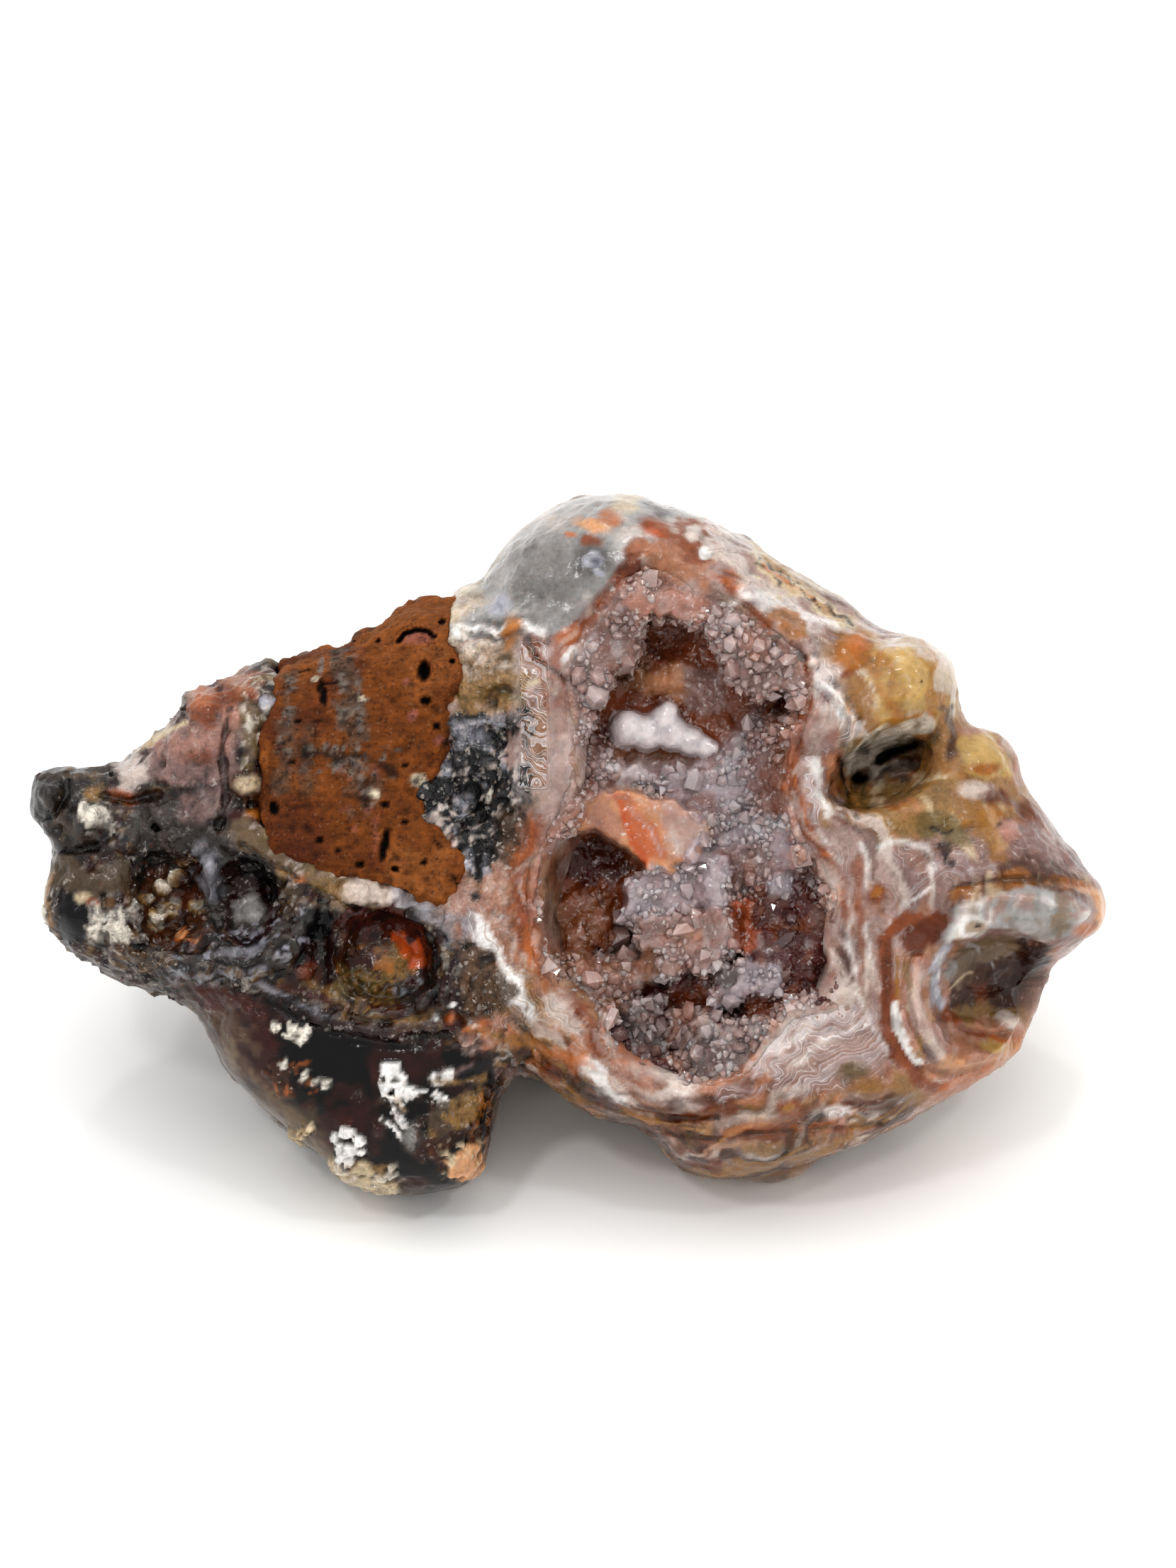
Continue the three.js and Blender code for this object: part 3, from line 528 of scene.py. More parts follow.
spot(838, 795, 26, 22, "slate", 0, .8, .5, .7)
spot(836, 796, 13, 10, "ice", 20)
spot(846, 812, 8, 7, "ice")
spot(836, 743, 22, 10, "peach", -20, .8)
spot(860, 733, 14, 11, "orange", -20, .8, .5, .8)
spot(805, 758, 8, 5, "orange", 0, .8)
spot(832, 768, 12, 7, "rust", 0, .7)
spot(884, 712, 20, 12, "cream", 30, .9, .5, .7)
spot(775, 735, 26, 12, "milk", -30, .9, .5, .6)
streak([640,900, 675,884, 700,894, 732,880, 765,897], 12, "white", 7, 1)
patch([648,905, 700,900, 725,905, 722,960, 660,965, 640,940], "chalk", 12, 2.5, .5)
patch([652,915, 715,915, 715,960, 660,962], "tan", 14, 3, .5)
streak([655,930, 690,945, 720,930], 10, "tan", 8, 1, .6)
spot(724, 895, 13, 24, "amber", -10, .6)
streak([745,905, 765,912, 785,905, 802,915], 9, "rust", 5, .7, 1)
streak([750,925, 765,945, 790,950, 802,960, 795,985, 780,1000], 8, "rust", 5, .7, 1)
spot(800, 928, 18, 10, "white", 15, .4, banding=1)
streak([745,965, 770,960, 785,975], 8, "cream", 6, .7, 1)

# Rust and pink rings, next to the hollow's mouth.
streak([905,776, 868,836, 830,878, 794,912, 778,950, 770,1000], 19, "rust", 7, .9, 1)
streak([890,775, 858,830, 815,880], 9, "brick", 6, 1, .7)
patch([880,800, 905,785, 950,800, 950,850, 900,850, 868,870], "maroon", 10, 1.5, .8)
patch([905,775, 950,762, 1005,790, 1005,832, 955,835, 905,805], "salmon", 14, 1.5, .85)
spot(925, 748, 26, 13, "rust", -25, .6)
spot(918, 755, 12, 7, "ember", -25, .8, .5, .5)
patch([950,740, 985,735, 1005,760, 1000,800, 965,800], "rust", 8, 1.5, .85)
spot(978, 755, 13, 10, "milk", 0, .4)
spot(993, 783, 8, 8, "white", 0, .4)
streak([1018,742, 1030,790, 1060,830, 1105,850], 34, "milk", 16, 1.5, .85, banding=.5)
streak([1010,815, 1052,850, 1082,885, 1110,912, 1132,928], 9, "rust", 5, 1, 1)
streak([1045,845, 1080,850, 1120,872, 1180,878], 22, "white", 10, 1.2, .7, banding=.6)
patch([1080,865, 1110,858, 1132,880, 1130,905, 1098,900], "amber", 8, 1.2, .85)
streak([1112,935, 1140,948, 1175,950, 1200,945], 14, "rust", 8, 1, 1)
spot(1200, 917, 24, 28, "amber", -20)
spot(1206, 908, 12, 12, "orange", 0, .8, .5, .7)
spot(1143, 934, 7, 7, "milk", 0, .4)
streak([1136,960, 1142,1000, 1120,1030, 1110,1070, 1112,1120], 21, "rust", 8, 1.2, 1)
streak([1118,1100, 1128,1150, 1150,1195, 1180,1240, 1192,1280], 16, "brick", much=.85)
streak([1165,965, 1180,990, 1192,1030, 1192,1070], 30, "milk", 14, 2, .85, banding=1)
streak([1135,1070, 1140,1110, 1152,1145], 22, "lilac", 10, 1.5, .9, banding=1)
streak([1208,948, 1226,965, 1234,1000], 10, "cream", 7, 1, banding=1)
patch([1156,1062, 1180,1060, 1181,1104, 1172,1122, 1160,1120], "salmon", 4, 1, 1)
mottled([1154,1060, 1184,1058, 1184,1124, 1158,1124], (1.2, "brick", .9, 78))
streak([800,970, 790,1010, 800,1060, 795,1110, 775,1165], 30, "lilac", 16, 2.5, .5, banding=.8)
streak([760,1000, 760,1060, 752,1120], 26, "tan", 16, 2, .4, banding=.6)
streak([745,1170, 730,1220, 730,1290, 745,1330], 30, "rust", 12, 1.3, .95)
streak([742,1200, 738,1260, 742,1310], 10, "brick", 8, 1.5, .7)
streak([672,1300, 695,1335, 722,1372, 728,1402, 750,1422], 22, "white", 8, 1.6, .9, banding=.8)
streak([660,1290, 665,1330, 690,1370], 12, "mauve", 8, 1)
streak([750,1340, 775,1380, 800,1410], 16, "rust", 10, 1.5, .7)
streak([780,1408, 805,1435, 830,1445], 26, "milk", 10, 1.5, .6, banding=.7)
streak([822,1412, 832,1450, 846,1500], 14, "rust", 8, 1.2, .85)
streak([826,1505, 852,1532, 880,1548], 24, "white", 9, 1.6, .85, banding=.8)
patch([765,1478, 820,1482, 828,1505, 790,1505], "orange", 10, 1.2, .7)
spot(810, 1532, 16, 9, "olive", 20, .6)
spot(800, 1524, 7, 4, "white")
streak([850,1548, 900,1566, 960,1570, 1030,1562], 19, "brick", 9, 1.6, .85)
streak([868,1535, 930,1550, 1000,1548], 9, "maroon", 8, 1.2, .7)
streak([890,1590, 980,1596, 1080,1588, 1250,1576], 17, "orange", 12, 1.6, .7)
streak([960,1612, 1010,1614, 1062,1606], 17, "peach")
spot(1112, 1560, 21, 15, "rust")
spot(1110, 1558, 10, 7, "ochre", 0, .6)
spot(1178, 1565, 18, 10, "milk", -10, banding=1)
spot(1075, 1598, 12, 8, "orange", 0, .7)
spot(1200, 1506, 22, 13, "olive", 0, .8, .5, .8)
spot(1226, 1534, 26, 13, "ochre", -10, .8, .5, .8)
for line in (
        [1085,1450, 1120,1420, 1160,1402], [1095,1478, 1140,1440, 1190,1415],
        [1120,1500, 1165,1462, 1215,1440], [1050,1500, 1090,1470, 1110,1430]):
    streak(line, 12, "milk", 9, 1.8, banding=1)
streak([1180,1340, 1195,1375, 1190,1410], 14, "maroon", 9, 1.2)
streak([1020,1540, 1090,1525, 1160,1520], 14, "mauve", much=.7, banding=.8)

# The yellow brow, the cavity under it and the lump beyond.
patch([1228,900, 1290,890, 1345,925, 1345,1005, 1300,1030, 1235,1020, 1222,960], "yellow", 16, 1.6, .95,
    banding=.1)
streak([1240,905, 1285,903, 1330,935], 20, "milk", 12, 1.2, .75)
on_brow = rind.front * ease(inside(rind.xy, [1225,895, 1345,900, 1350,1010, 1240,1025]) / 20)
for size, seed, less, name in ((2.2, 197, .3, "ochre"), (1.8, 199, .6, "milk")):
    rind.lay(on_brow * ease(mottle(place, size, seed) * 2 - less) * .6, name)
streak([1232,940, 1240,980, 1262,1015, 1310,1012], 17, "amber", 12, 1.8)
BROW = [1228,900, 1290,890, 1345,925, 1345,1005, 1300,1030, 1235,1020]
mottled(BROW, (2.4, "amber", .5, 67), (1.6, "white", .4, 68))
spot(1280, 985, 4, 3, "umber")
spot(1292, 962, 3, 3, "umber")
patch([1178,1048, 1225,1040, 1290,1030, 1320,1035, 1300,1085, 1240,1115, 1200,1120], "fawn")
patch([1184,1056, 1214,1036, 1262,1030, 1300,1010, 1322,1022, 1286,1046, 1240,1074, 1194,1096], "chalk", 8,
    1.2, .75)
mottled([1180,1050, 1320,1010, 1330,1040, 1200,1110], (1.4, "olive", .7, 75))
patch([1226,1084, 1262,1068, 1304,1074, 1292,1104, 1236,1112], "chalk", 7, 2, .6)
mottled([1222,1080, 1262,1062, 1310,1070, 1296,1110, 1230,1116], (1.2, "umber", .8, 76))
# Black in the deep groove, at the top of the cavity and in the deep pit: painted shade.
streak([1236,1078, 1262,1062, 1290,1049], 14, "black", 5, 1.4, .95)
spot(1217, 1058, 14, 7, "black", -25, .5, 1.4, .75)
spot(1212, 1100, 14, 8, "black", 0, .4)
streak([1182,1076, 1188,1110, 1202,1150], 6, "peat", 4, .7, 1)
patch([1186,1112, 1222,1112, 1220,1154, 1192,1154], "ochre", 8, 1.4, .8)
mottled([1184,1108, 1226,1108, 1222,1158, 1190,1158], (1.1, "olive", .9, 77))
streak([1330,1000, 1338,1035, 1334,1070], 15, "umber", 8, 1.2, .85)
patch([1345,1035, 1395,1025, 1428,1060, 1425,1100, 1370,1098, 1345,1070], "yellow", much=.95)
streak([1352,1032, 1395,1024, 1428,1058, 1432,1098], 13, "pink", 8, 1.2, .85)
spot(1385, 1085, 22, 8, "amber", 0, .7)
patch([1220,1112, 1335,1105, 1335,1165, 1250,1185, 1215,1160], "tan", 12, 1.6)
CHEEK = [1222,1108, 1300,1092, 1400,1110, 1430,1180, 1390,1215, 1300,1196, 1230,1180]
mottled(CHEEK, (2.4, "salmon", .7, 108), (1.7, "cream", .7, 109), (1.2, "amber", .5, 116))
streak([1296,1168, 1320,1158, 1345,1178], 22, "olive", 9)
streak([1310,1168, 1322,1176, 1336,1170], 4, "black", 4, 1.2, .85)
spot(1375, 1116, 24, 12, "milk", 0, .6, .5, .8)
streak([1390,1118, 1425,1132, 1450,1152], 22, "brick", much=.85)
streak([1380,1150, 1392,1190, 1400,1210], 19, "ochre")
spot(1420, 1172, 15, 17, "pink", 0, .4)
patch([1262,1198, 1312,1200, 1312,1275, 1265,1285], "mauve", 12, banding=.5)
streak([1302,1222, 1308,1250, 1290,1264, 1270,1276], 7, "white", 5, 1.2, .9)
for blot in ((1323, 1207, 5, 8), (1337, 1222, 6, 5), (1418, 1238, 13, 4), (1404, 1168, 4, 5)):
    spot(*blot, "black", 0, .5, rag=2, much=.8)
patch([1440,1165, 1530,1210, 1530,1228, 1430,1225], "mauve")

# The nose, and the cup below it with its curved bands.
patch([1330,1252, 1390,1236, 1450,1206, 1510,1212, 1548,1244, 1540,1262, 1460,1256, 1380,1262, 1340,1282],
    "umber", 14, 1.6, .8)
streak([1345,1256, 1400,1244, 1470,1238, 1530,1244], 16, "amber", 12, 1.6, .7)
mottled([1330,1250, 1440,1200, 1550,1240, 1540,1268, 1350,1280], (1.8, "maroon", .8, 79))
mottled([1340,1240, 1440,1210, 1540,1236, 1530,1258, 1350,1270], (1.2, "cream", .5, 84), banding=0)
patch([1312,1362, 1330,1318, 1352,1278, 1390,1264, 1448,1252, 1502,1258, 1536,1284, 1530,1312, 1480,1328,
    1448,1324, 1400,1306, 1358,1312, 1328,1342], "cap", 8, 1, .95, banding=.1)
NOSE = [1330,1330, 1350,1276, 1400,1260, 1500,1256, 1540,1290, 1480,1330, 1400,1312]
mottled(NOSE, (2.6, "pink", .6, 85), (2.2, "horn", .6, 97), (1.8, "white", .55, 86), (1.4, "tan", .4, 87),
    banding=.1)
mottled([1370,1256, 1460,1250, 1480,1290, 1390,1296], (1.3, "slate", .35, 88), banding=.1)
spot(1366, 1306, 18, 15, "white", -20, .4, .5, .9)
spot(1370, 1306, 13, 10, "tan", -20, .5, .5, .75)
spot(1372, 1303, 3, 3, "peat")
streak([1520,1246, 1545,1262, 1554,1290, 1546,1312], 15, "peach", 7, 1, .9)
streak([1500,1240, 1536,1250], 8, "orange", 6, 1, .7)
spot(1530, 1312, 16, 10, "orange", 10, .7, .5, .85)
patch([1262,1318, 1277,1300, 1320,1277, 1332,1298, 1323,1320, 1294,1350, 1278,1348], "brick", 4, .6, 1)
mottled([1256,1312, 1315,1272, 1334,1300, 1292,1352], (1.5, "maroon", .7, 89))
patch([1262,1352, 1330,1335, 1340,1420, 1345,1460, 1310,1505, 1290,1500, 1268,1430], "pink", 6, .9, .7,
    banding=.1)
CUP_BANDS = [1260,1352, 1332,1335, 1342,1420, 1346,1462, 1312,1508, 1286,1500, 1264,1430]
mottled(CUP_BANDS, (1.6, "tan", .8, 92), (1.9, "umber", .7, 98), (1.2, "mauve", .8, 93), banding=.1)
streak([1286,1358, 1283,1400, 1294,1446, 1318,1482], 15, "milk", 9, 1, .6, banding=.15)
streak([1336,1336, 1320,1360, 1313,1390, 1320,1414], 17, "ice", 6, .9, .95, banding=.15)
streak([1326,1352, 1319,1380], 5, "white", 4, .9)
streak([1261,1345, 1258,1385, 1260,1414], 6, "ochre", 3, .6, 1)
streak([1262,1306, 1246,1322, 1242,1380, 1247,1436, 1262,1482, 1292,1518], 22, "rust", 4, .6, 1)
streak([1240,1330, 1236,1390, 1241,1440, 1256,1486], 10, "brick", 6, 1, .9)
streak([1256,1420, 1262,1446, 1277,1476, 1293,1495], 9, "white", 2.5, .6, 1, banding=0)
streak([1240,1350, 1240,1410, 1250,1460, 1270,1505], 8, "pink", 8, 1)
patch([1334,1360, 1350,1336, 1400,1322, 1474,1334, 1474,1390, 1440,1436, 1370,1442, 1336,1420], "umber", 6,
    1, 1)
patch([1332,1370, 1350,1334, 1400,1322, 1440,1326, 1420,1348, 1380,1360, 1350,1396], "horn", much=.85,
    banding=0)
mottled([1330,1370, 1350,1330, 1440,1320, 1430,1350, 1350,1400], (1.4, "cap", .7, 94), banding=0)
mottled([1350,1350, 1450,1345, 1450,1410, 1370,1420], (2, "fawn", .8, 95))
patch([1392,1372, 1440,1352, 1456,1400, 1416,1424, 1386,1404], "peat", 16, 2, .75)
patch([1440,1330, 1478,1338, 1472,1392, 1450,1372], "peat", 8, 1.4, .95)
streak([1338,1392, 1352,1376, 1368,1370], 4, "cream", 4)
spot(1347, 1404, 8, 5, "milk", 20, .5, 1.5, .8)
patch([1346,1412, 1386,1416, 1440,1424, 1450,1440, 1400,1450, 1356,1440], "tan", 12, 1.8, .8)
patch([1365,1385, 1392,1380, 1396,1420, 1372,1424], "brick", 10, 2, .6)
streak([1330,1425, 1352,1450, 1400,1462], 11, "rust", 7, 1.2, .9)
spot(1420, 1438, 14, 11, "milk")
streak([1402,1464, 1425,1470, 1442,1456], 12, "orange", 6, 1, .9)
spot(1404, 1476, 24, 8, "yellow", -8, .7)
streak([1330,1500, 1380,1504, 1430,1484], 16, "peach", 10, 1.6, banding=0)
streak([1300,1440, 1335,1470, 1380,1486], 12, "pink", much=.6, banding=.2)
streak([1290,1500, 1340,1515, 1400,1498], 11, "salmon", 8)
streak([1300,1528, 1350,1530, 1390,1515], 13, "pink", 8, banding=.7)
patch([1250,1500, 1300,1520, 1300,1562, 1250,1570], "tan", 12, 1.6, .8)

# The yellow-tan strip with black tree-like marks along the top right edge.
patch([1045,772, 1075,770, 1210,868, 1195,885, 1120,845, 1060,808], "cream", 8, banding=.1)
patch([1062,780, 1100,792, 1150,835, 1190,868, 1130,838, 1080,812], "ochre", 10, 1.8, .7)
streak([1075,800, 1110,822, 1150,845], 5, "orange", 5, 1.6, .7)
for line in (
        [1060,778, 1070,790, 1064,800, 1078,803], [1082,792, 1090,806, 1100,800, 1104,815],
        [1112,812, 1118,826, 1128,822], [1130,832, 1140,848, 1150,842, 1154,858],
        [1168,850, 1180,864, 1194,866, 1200,880], [1094,818, 1100,828]):
    streak(line, 3.2, "black", 3, 1, .9)

# Tan and amber growth between the rock, the dark mass and the nodule.
patch([640,950, 745,955, 745,1000, 655,1010], "tan")
streak([665,985, 700,975, 740,985], 13, "olive", 8)
patch([655,1015, 700,1010, 745,1000, 752,1030, 715,1040, 705,1060, 718,1090, 745,1080, 745,1110, 735,1150,
    715,1180, 702,1232, 670,1262, 650,1212, 640,1175, 615,1160, 600,1130, 588,1115, 605,1090, 625,1075,
    645,1060], "cinders", 5, 1.6, 1)
CINDERS = [640,1020, 750,1000, 750,1110, 700,1235, 660,1250, 590,1115]
on_cinders = rind.front * ease(inside(rind.xy, CINDERS) / 8)
rind.lay(on_cinders * ease(mottle(place, .55, 181, 2) * 2.6 - .9) * .8, "milk", banding=0)
mottled(CINDERS, (1.8, "ice", .55, 50), banding=0)
rind.lay(on_cinders * ease(mottle(place, 1.3, 187, 2) * 2.4 - .6), "black")
spot(692, 1122, 6, 12, "chalk", 10)
patch([700,1150, 745,1130, 740,1200, 705,1230], "fawn", 12, 1.6, .7)
patch([620,1340, 700,1335, 720,1400, 700,1440, 650,1445, 625,1410], "fawn", 12, 1.8)
spot(668, 1446, 7, 5, "chalk", 0, .6)
streak([640,1432, 670,1448, 705,1462, 738,1470], 26, "amber", 10, 1.6, .7)
mottled([630,1420, 750,1450, 760,1500, 690,1500], (1.6, "umber", .9, 117))
patch([700,1480, 745,1480, 740,1515, 702,1512], "umber", 8, 1.2, 1)
spot(962, 1632, 22, 19, "slate", much=.9)
spot(990, 1628, 12, 14, "amber", 0, .7, .5, .8)
patch([1035,1612, 1112,1608, 1110,1662, 1035,1662], "plum", 7, 1, 1)

# The dark mass on the left, its slope, veins and pits.
patch([20,1080, 110,1055, 180,1035, 230,1005, 300,955, 405,925, 398,1190, 560,1285, 645,1300, 655,1490,
    705,1520, 700,1720, 400,1720, 180,1430, 20,1330], "bark", 12, 1.2, 1)
DARK = [20,1080, 200,1080, 330,1190, 560,1285, 645,1300, 655,1490, 400,1400, 180,1400, 20,1330]
mottled(DARK, (3, "fawn", .6, 60), (1.8, "coal", .85, 61), (1.4, "smoke", .5, 62), (1.6, "toffee", .7, 69),
    (1, "tan", .35, 63), (.7, "chalk", .25, 64), soft=20)
patch([212,1020, 262,1000, 345,990, 345,1100, 300,1118, 210,1105], "mauve", 14, 2, .95)
patch([215,1035, 300,1015, 335,1060, 260,1085], "pink", 16, 2.4, .6)
spot(290, 1070, 22, 12, "brick", 0, .8, .5, .8)
streak([182,1055, 225,1040, 262,1020], 12, "cream", 6, 1, .9)
streak([190,1050, 215,1045], 5, "ochre", 5, 1)
patch([168,1072, 216,1068, 218,1108, 170,1112], "milk", 9, 1.6)
streak([150,1120, 190,1130, 222,1120], 13, "rust", 8, 1.4, .9)
patch([200,1112, 345,1108, 345,1190, 210,1215, 180,1160], "slate", 12, 1.8, .95)
patch([250,1120, 330,1115, 330,1150, 260,1160], "mauve", 14, 2, .6)
# Black in the small pit here: painted shade.
spot(225, 1166, 8, 8, "black")
patch([265,985, 300,965, 318,1000, 300,1030, 265,1015], "rust", 8)
patch([308,952, 350,938, 378,950, 365,1000, 322,1000], "rust", 9)
spot(288, 988, 14, 12, "orange", 0, .8, .5, .6)
spot(340, 962, 20, 13, "salmon", -20, .8, .5, .6)
spot(335, 1012, 22, 16, "pink", 0, .6, .5, .85)
streak([262,985, 300,958, 345,935, 400,928], 7, "milk", 6, 1.4, .7)
patch([374,928, 402,926, 402,985, 375,985], "bottle", 7, 1, .7)
spot(382, 996, 12, 11, "ice")
TOP_SEAM = [370,925, 402,925, 400,1150, 372,1150]
mottled(TOP_SEAM, (1, "milk", .6, 70), (1.6, "olive", .5, 71), soft=8)
SEAM = [345,1150, 400,1190, 470,1230, 560,1262, 600,1290, 560,1300, 470,1262, 400,1230]
patch([348,1000, 388,992, 392,1082, 344,1082], "horn", 9, 1.6)
HORN = [345,940, 400,930, 396,1090, 345,1090]
mottled(HORN, (1.3, "chalk", .7, 106), (1.1, "olive", .7, 107))
patch([330,1088, 388,1086, 388,1138, 332,1136], "umber", 9, 1.6, .85)
spot(358, 1105, 20, 10, "cream", 0, .7, .5, .7)
spot(350, 1152, 28, 15, "toffee", 0, .6, .5, .95)
spot(362, 1148, 12, 8, "amber", 0, .7, .5, .8)
streak([345,1172, 390,1208, 450,1240, 520,1268, 560,1284], 32, "horn", 12, 1.4, .9)
mottled(SEAM, (1.4, "umber", .8, 74), (1.2, "olive", .7, 73), (.9, "milk", .8, 72))
streak([400,1222, 450,1248, 500,1262], 11, "tan", 8, 1.8)
spot(430, 1240, 9, 7, "orange", 0, .6, .5, .8)
streak([500,1258, 530,1264, 562,1272], 12, "milk", 9, 2, .7, banding=0)
streak([562,1262, 600,1285, 640,1312], 22, "ice", 12, 2, .5, banding=0)
# Black in the narrow sunk groove here: painted shade.
streak([626,1290, 630,1308, 636,1326], 5, "black", 4, .8, 1)
patch([265,1190, 335,1185, 335,1300, 300,1310, 275,1250], "slate", 12, 1.6, .85)
patch([183,1240, 200,1208, 240,1196, 285,1206, 290,1250, 300,1320, 250,1345, 205,1322], "umber", 6, 1, 1)
patch([182,1235, 200,1206, 250,1196, 285,1204, 250,1218, 215,1228, 196,1262], "black", 8, 1.2, .95)
patch([238,1222, 290,1220, 288,1290, 250,1290], "peat", 9, 1.4, .8)
spot(262, 1262, 24, 16, "brick", 0, .9, 1.3, .6)
for x_, y_, r_ in ((226, 1250, 13), (250, 1236, 11), (264, 1218, 9), (232, 1284, 13), (244, 1272, 8),
        (206, 1270, 9), (222, 1304, 10), (286, 1280, 8)):
    spot(x_, y_, r_ * 1.15, r_, "tan", 0, .5, 1.4)
    spot(x_ + 2, y_ - 3, r_ * .7, r_ * .6, "chalk", 0, .7, 1.2, .8)
patch([242,1312, 258,1308, 262,1316, 282,1322, 280,1332, 252,1330], "orange", 4, 1, 1)
spot(252, 1316, 7, 5, "peach", 0, .6, 1.3, .8)
spot(270, 1326, 7, 4, "peach", 0, .6, 1.3, .6)
patch([276,1190, 322,1190, 326,1240, 316,1300, 296,1300, 290,1240], "slate", 8, 1.6, 1)
spot(300, 1228, 15, 28, "ice", 10, .9, 2, .5)
patch([322,1225, 345,1205, 385,1212, 402,1260, 396,1320, 350,1340, 325,1325], "peat", 6, 1, 1)
patch([335,1205, 365,1204, 392,1228, 402,1270, 385,1285, 372,1240, 345,1228], "black", 6, 1)
spot(355, 1290, 27, 27, "slate", 0, .3)
spot(353, 1284, 19, 17, "cap", 20, .6, 1.2, .75)
patch([440,1285, 478,1282, 486,1345, 480,1395, 445,1372], "black", 8, 1.2, .95)
patch([410,1330, 470,1330, 485,1405, 405,1400], "peat")
spot(440, 1372, 16, 12, "brick", 0, .6, .5, .8)
streak([235,1368, 262,1350, 300,1346, 352,1350, 398,1336, 424,1316, 440,1290], 34, "coal", 8, 2, .9)
SPINE = [235,1330, 300,1320, 440,1280, 450,1320, 400,1365, 300,1390, 235,1390]
mottled(SPINE, (1.3, "slate", .9, 65))
streak([240,1352, 300,1342, 352,1344, 392,1328, 424,1306], 12, "slate", 8, 2.4, .9)
mottled(SPINE, (.7, "ice", .5, 66))
streak([300,1340, 352,1340, 392,1322], 4, "ice", 5, 3, .4)
streak([245,1378, 300,1374, 370,1384, 400,1402, 440,1424, 482,1436], 5, "ice", 4, 3, .4)
streak([400,1390, 440,1400, 480,1412, 520,1432], 12, "maroon", 7, 1.6)
streak([432,1384, 470,1396, 500,1416], 7, "tan", 5, 2, .7)

# Glossy bulbs at the left tip, with their pale crusts.
patch([20,1090, 110,1060, 155,1080, 150,1215, 90,1225, 20,1180], "bottle", 9, 1, 1)
spot(74, 1132, 34, 38, "coal")
patch([85,1078, 142,1078, 145,1104, 95,1106], "coal", 7, 1, 1)
streak([60,1086, 90,1074, 125,1070, 160,1078], 13, "fawn", 7, 2, .9)
BULBS = [20,1090, 110,1060, 158,1080, 160,1210, 90,1228, 20,1180]
patch(BULBS, "slate", 9, 1, .55)
mottled(BULBS, (3, "smoke", .5, 101), (2.2, "fawn", .35, 102))
mottled([90,1070, 160,1076, 160,1120, 100,1110], (.9, "tan", .7, 104))
mottled([116,1130, 160,1130, 160,1180, 124,1180], (.7, "chalk", .6, 105))
streak([108,1094, 125,1091, 142,1097], 6, "smoke", 5, 1)
streak([92,1118, 88,1150, 94,1185], 4, "smoke", 4, .8)
spot(138, 1116, 12, 12, "tan", 0, .6, .5, .8)
patch([124,1138, 162,1140, 162,1166, 128,1164], "chalk", 7, 2.2, .85)
patch([66,1222, 190,1210, 190,1262, 100,1262, 70,1260], "smoke", 9, 1.8, .95)
streak([70,1225, 66,1262, 72,1300], 8, "chalk", 5, 1, .9)
streak([76,1232, 72,1270, 80,1305], 4, "ochre", 4, 1)
patch([80,1258, 128,1255, 130,1322, 95,1325, 78,1295], "coal", 7, 1.2, 1)
spot(122, 1265, 13, 9, "cream", 0, .6, .5, .8)
spot(136, 1276, 9, 8, "rust", 0, .6, .5, .9)
patch([130,1285, 182,1282, 185,1326, 135,1326], "chalk", 9, 2.2, .85)
patch([175,1330, 240,1345, 240,1372, 200,1372], "fawn", 9, 1.8)

# The fire dome: a glassy brown bubble in a dark pit, orange and yellow inside.
patch([480,1300, 500,1282, 550,1274, 598,1290, 622,1330, 622,1395, 590,1430, 520,1425, 484,1380], "toffee",
    8, 1.4, 1)
patch([480,1310, 540,1312, 540,1358, 484,1362], "umber", 12, 1.6)
mottled([478,1300, 560,1300, 560,1370, 478,1370], (1.6, "amber", .8, 40))
patch([496,1296, 545,1276, 590,1290, 600,1316, 560,1320, 512,1326], "maroon", 12, 2)
mottled([490,1280, 600,1280, 600,1330, 490,1330], (1.2, "plum", .7, 41))
patch([538,1340, 560,1332, 586,1350, 582,1384, 548,1386], "tan", 14, 2)
mottled([530,1330, 590,1330, 590,1390, 530,1390], (1.2, "amber", .9, 42))
patch([558,1320, 590,1326, 596,1352, 584,1358, 570,1338], "ember", 8, 2.4)
mottled([545,1318, 600,1318, 600,1370, 545,1350], (1, "orange", .8, 43))
patch([485,1367, 540,1372, 575,1390, 560,1420, 510,1416, 486,1395], "olive", 14, 2)
# Small beads on the dome's lower side, each a tan ring round a toffee middle: the rings are painted
# highlights.
for x_, y_, r_ in ((498, 1376, 6), (512, 1370, 5), (508, 1388, 7), (524, 1382, 6), (536, 1376, 5),
        (520, 1398, 7), (536, 1392, 6), (550, 1386, 6), (562, 1378, 5), (544, 1406, 6), (560, 1398, 7),
        (574, 1390, 5), (528, 1412, 6), (572, 1408, 6), (556, 1416, 5)):
    spot(x_, y_, r_, r_, "tan", 0, .3, .5, .8)
    spot(x_, y_, r_ * .6, r_ * .6, "toffee", 0, .3, .5, .8)
patch([566,1392, 604,1380, 604,1414, 576,1426], "slate", 10, 2, .8)
mottled([560,1385, 606,1380, 606,1424, 566,1426], (.8, "ice", .8, 44))
streak([586,1290, 608,1318, 616,1356, 612,1396], 16, "black", 8, 1.6, .9)
SILL = [470,1395, 560,1425, 640,1425, 640,1452, 490,1446]
mottled(SILL, (1, "tan", .9, 45), (.8, "milk", .35, 46))
in_pit = np.hypot(x - 552, y - 1352) < 68
rind.finish[in_pit, 0] = np.minimum(rind.finish[in_pit, 0], .07)
streak([484,1440, 540,1450, 600,1442, 655,1450], 32, "peat", 9, 1.6)
spot(640, 1434, 17, 15, "toffee", 0, .4)
spot(636, 1430, 10, 8, "orange", 0, .8, .5, .7)
streak([655,1450, 672,1446, 690,1440], 9, "orange", 6, 1.2)
